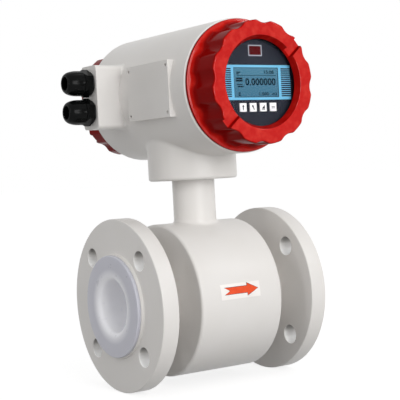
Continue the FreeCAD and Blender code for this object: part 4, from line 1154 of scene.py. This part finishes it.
# %% Print the key symbols
KEY_FACE_Y, KEY_RISE, KEY_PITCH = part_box("key_1")[0][1] / MM, -22.0, 11.3
SYMBOLS = {
    "key_1": [[(-0.45, -2.3), (0.45, -2.3), (0.45, 0.6), (1.3, 0.6), (0, 2.4), (-1.3, 0.6),
               (-0.45, 0.6)]],
    "key_2": [[(0.5, -2.2), (1.3, -2.2), (0.2, 0.7), (1.0, 1.0), (-1.3, 2.2), (-1.5, 0.1),
               (-0.7, 0.4)]],
    "key_3": [[(-1.7, -1.4), (1.6, -1.4), (1.6, 2.0)],
              [(-1.9, -2.3), (1.9, -2.3), (1.9, -1.9), (-1.9, -1.9)]],
    "key_4": [[(-1.9, 0.2), (1.9, 0.2), (1.9, 0.7), (-1.9, 0.7)],
              [(-1.9, -1.1), (1.9, -1.1), (1.9, -0.6), (-1.9, -0.6)]],
}


def key_symbol(name, shapes, x):
    """Polygons in the plane of the key's face."""
    corners = np.concatenate(shapes) + (x, KEY_RISE)
    starts = np.cumsum([0] + [len(shape) for shape in shapes])
    faces = [list(range(*ends)) for ends in zip(starts, starts[1:])]
    points = (at_depth(corners, KEY_FACE_Y - INK_LIFT) + AXIS / MM) * MM
    symbol = name + "_symbol"
    set_up(symbol, new_mesh(symbol, points, faces), "display_ink", name)


for index, (name, shapes) in enumerate(SYMBOLS.items()):
    key_symbol(name, shapes, (index - 1.5) * KEY_PITCH)

# %% [markdown]
# ## Flow arrow
# The arrow is printed on the sticker, so it follows the housing's round. It is drawn as
# grids in (length, angle) and laid on a cylinder just above the sticker.

# %% Print the flow arrow
LABEL_TOP_R = HOUSING_R / MM + 0.3
TAIL_X, NOTCH_X, HEAD_X, TIP_X = -20.3, -14.0, 5.8, 18.0
SHAFT_HALF, HEAD_HALF, ARROW_RISE = 2.45, 4.45, 8.0
ARROW_ROWS, ARROW_COLUMNS = 24, 13
ink("arrow_orange", (236, 86, 44), (226, 76, 38), 3, 2, 0.45, 0.2)


def on_label(x, degrees, lift):
    """Points on the cylinder round X at an angle above the pipe's mid-height, front side."""
    radius, angle = LABEL_TOP_R + lift, np.radians(degrees)
    return np.stack([x, -radius * np.cos(angle), radius * np.sin(angle)], -1) * MM


def arrow(name, grow, lift, finish):
    """Shaft and head; grow widens the outline by so many millimetres on every side."""
    share = np.linspace(0, 1, ARROW_ROWS)[:, None]
    across = np.linspace(-1, 1, ARROW_COLUMNS)[None, :]
    turn = grow / (LABEL_TOP_R * math.pi / 180)
    tail = NOTCH_X - grow + (TAIL_X - NOTCH_X) * np.abs(across)
    shaft_x = tail + (HEAD_X - tail) * share
    shaft = on_label(shaft_x, ARROW_RISE + across * (SHAFT_HALF + turn) + 0 * share, lift)
    head_x = HEAD_X - grow + (TIP_X - HEAD_X + 2.6 * grow) * share + 0 * across
    head = on_label(head_x, ARROW_RISE + across * (HEAD_HALF + 1.8 * turn) * (1 - share), lift)
    faces = grid_faces(ARROW_ROWS, ARROW_COLUMNS, False)
    both = np.vstack([faces, faces + ARROW_ROWS * ARROW_COLUMNS]).tolist()
    set_up(name, new_mesh(name, np.stack([shaft, head]), both), finish)


arrow("arrow_outline", 0.35, 0.03, "display_ink")
arrow("arrow_fill", 0.0, 0.06, "arrow_orange")
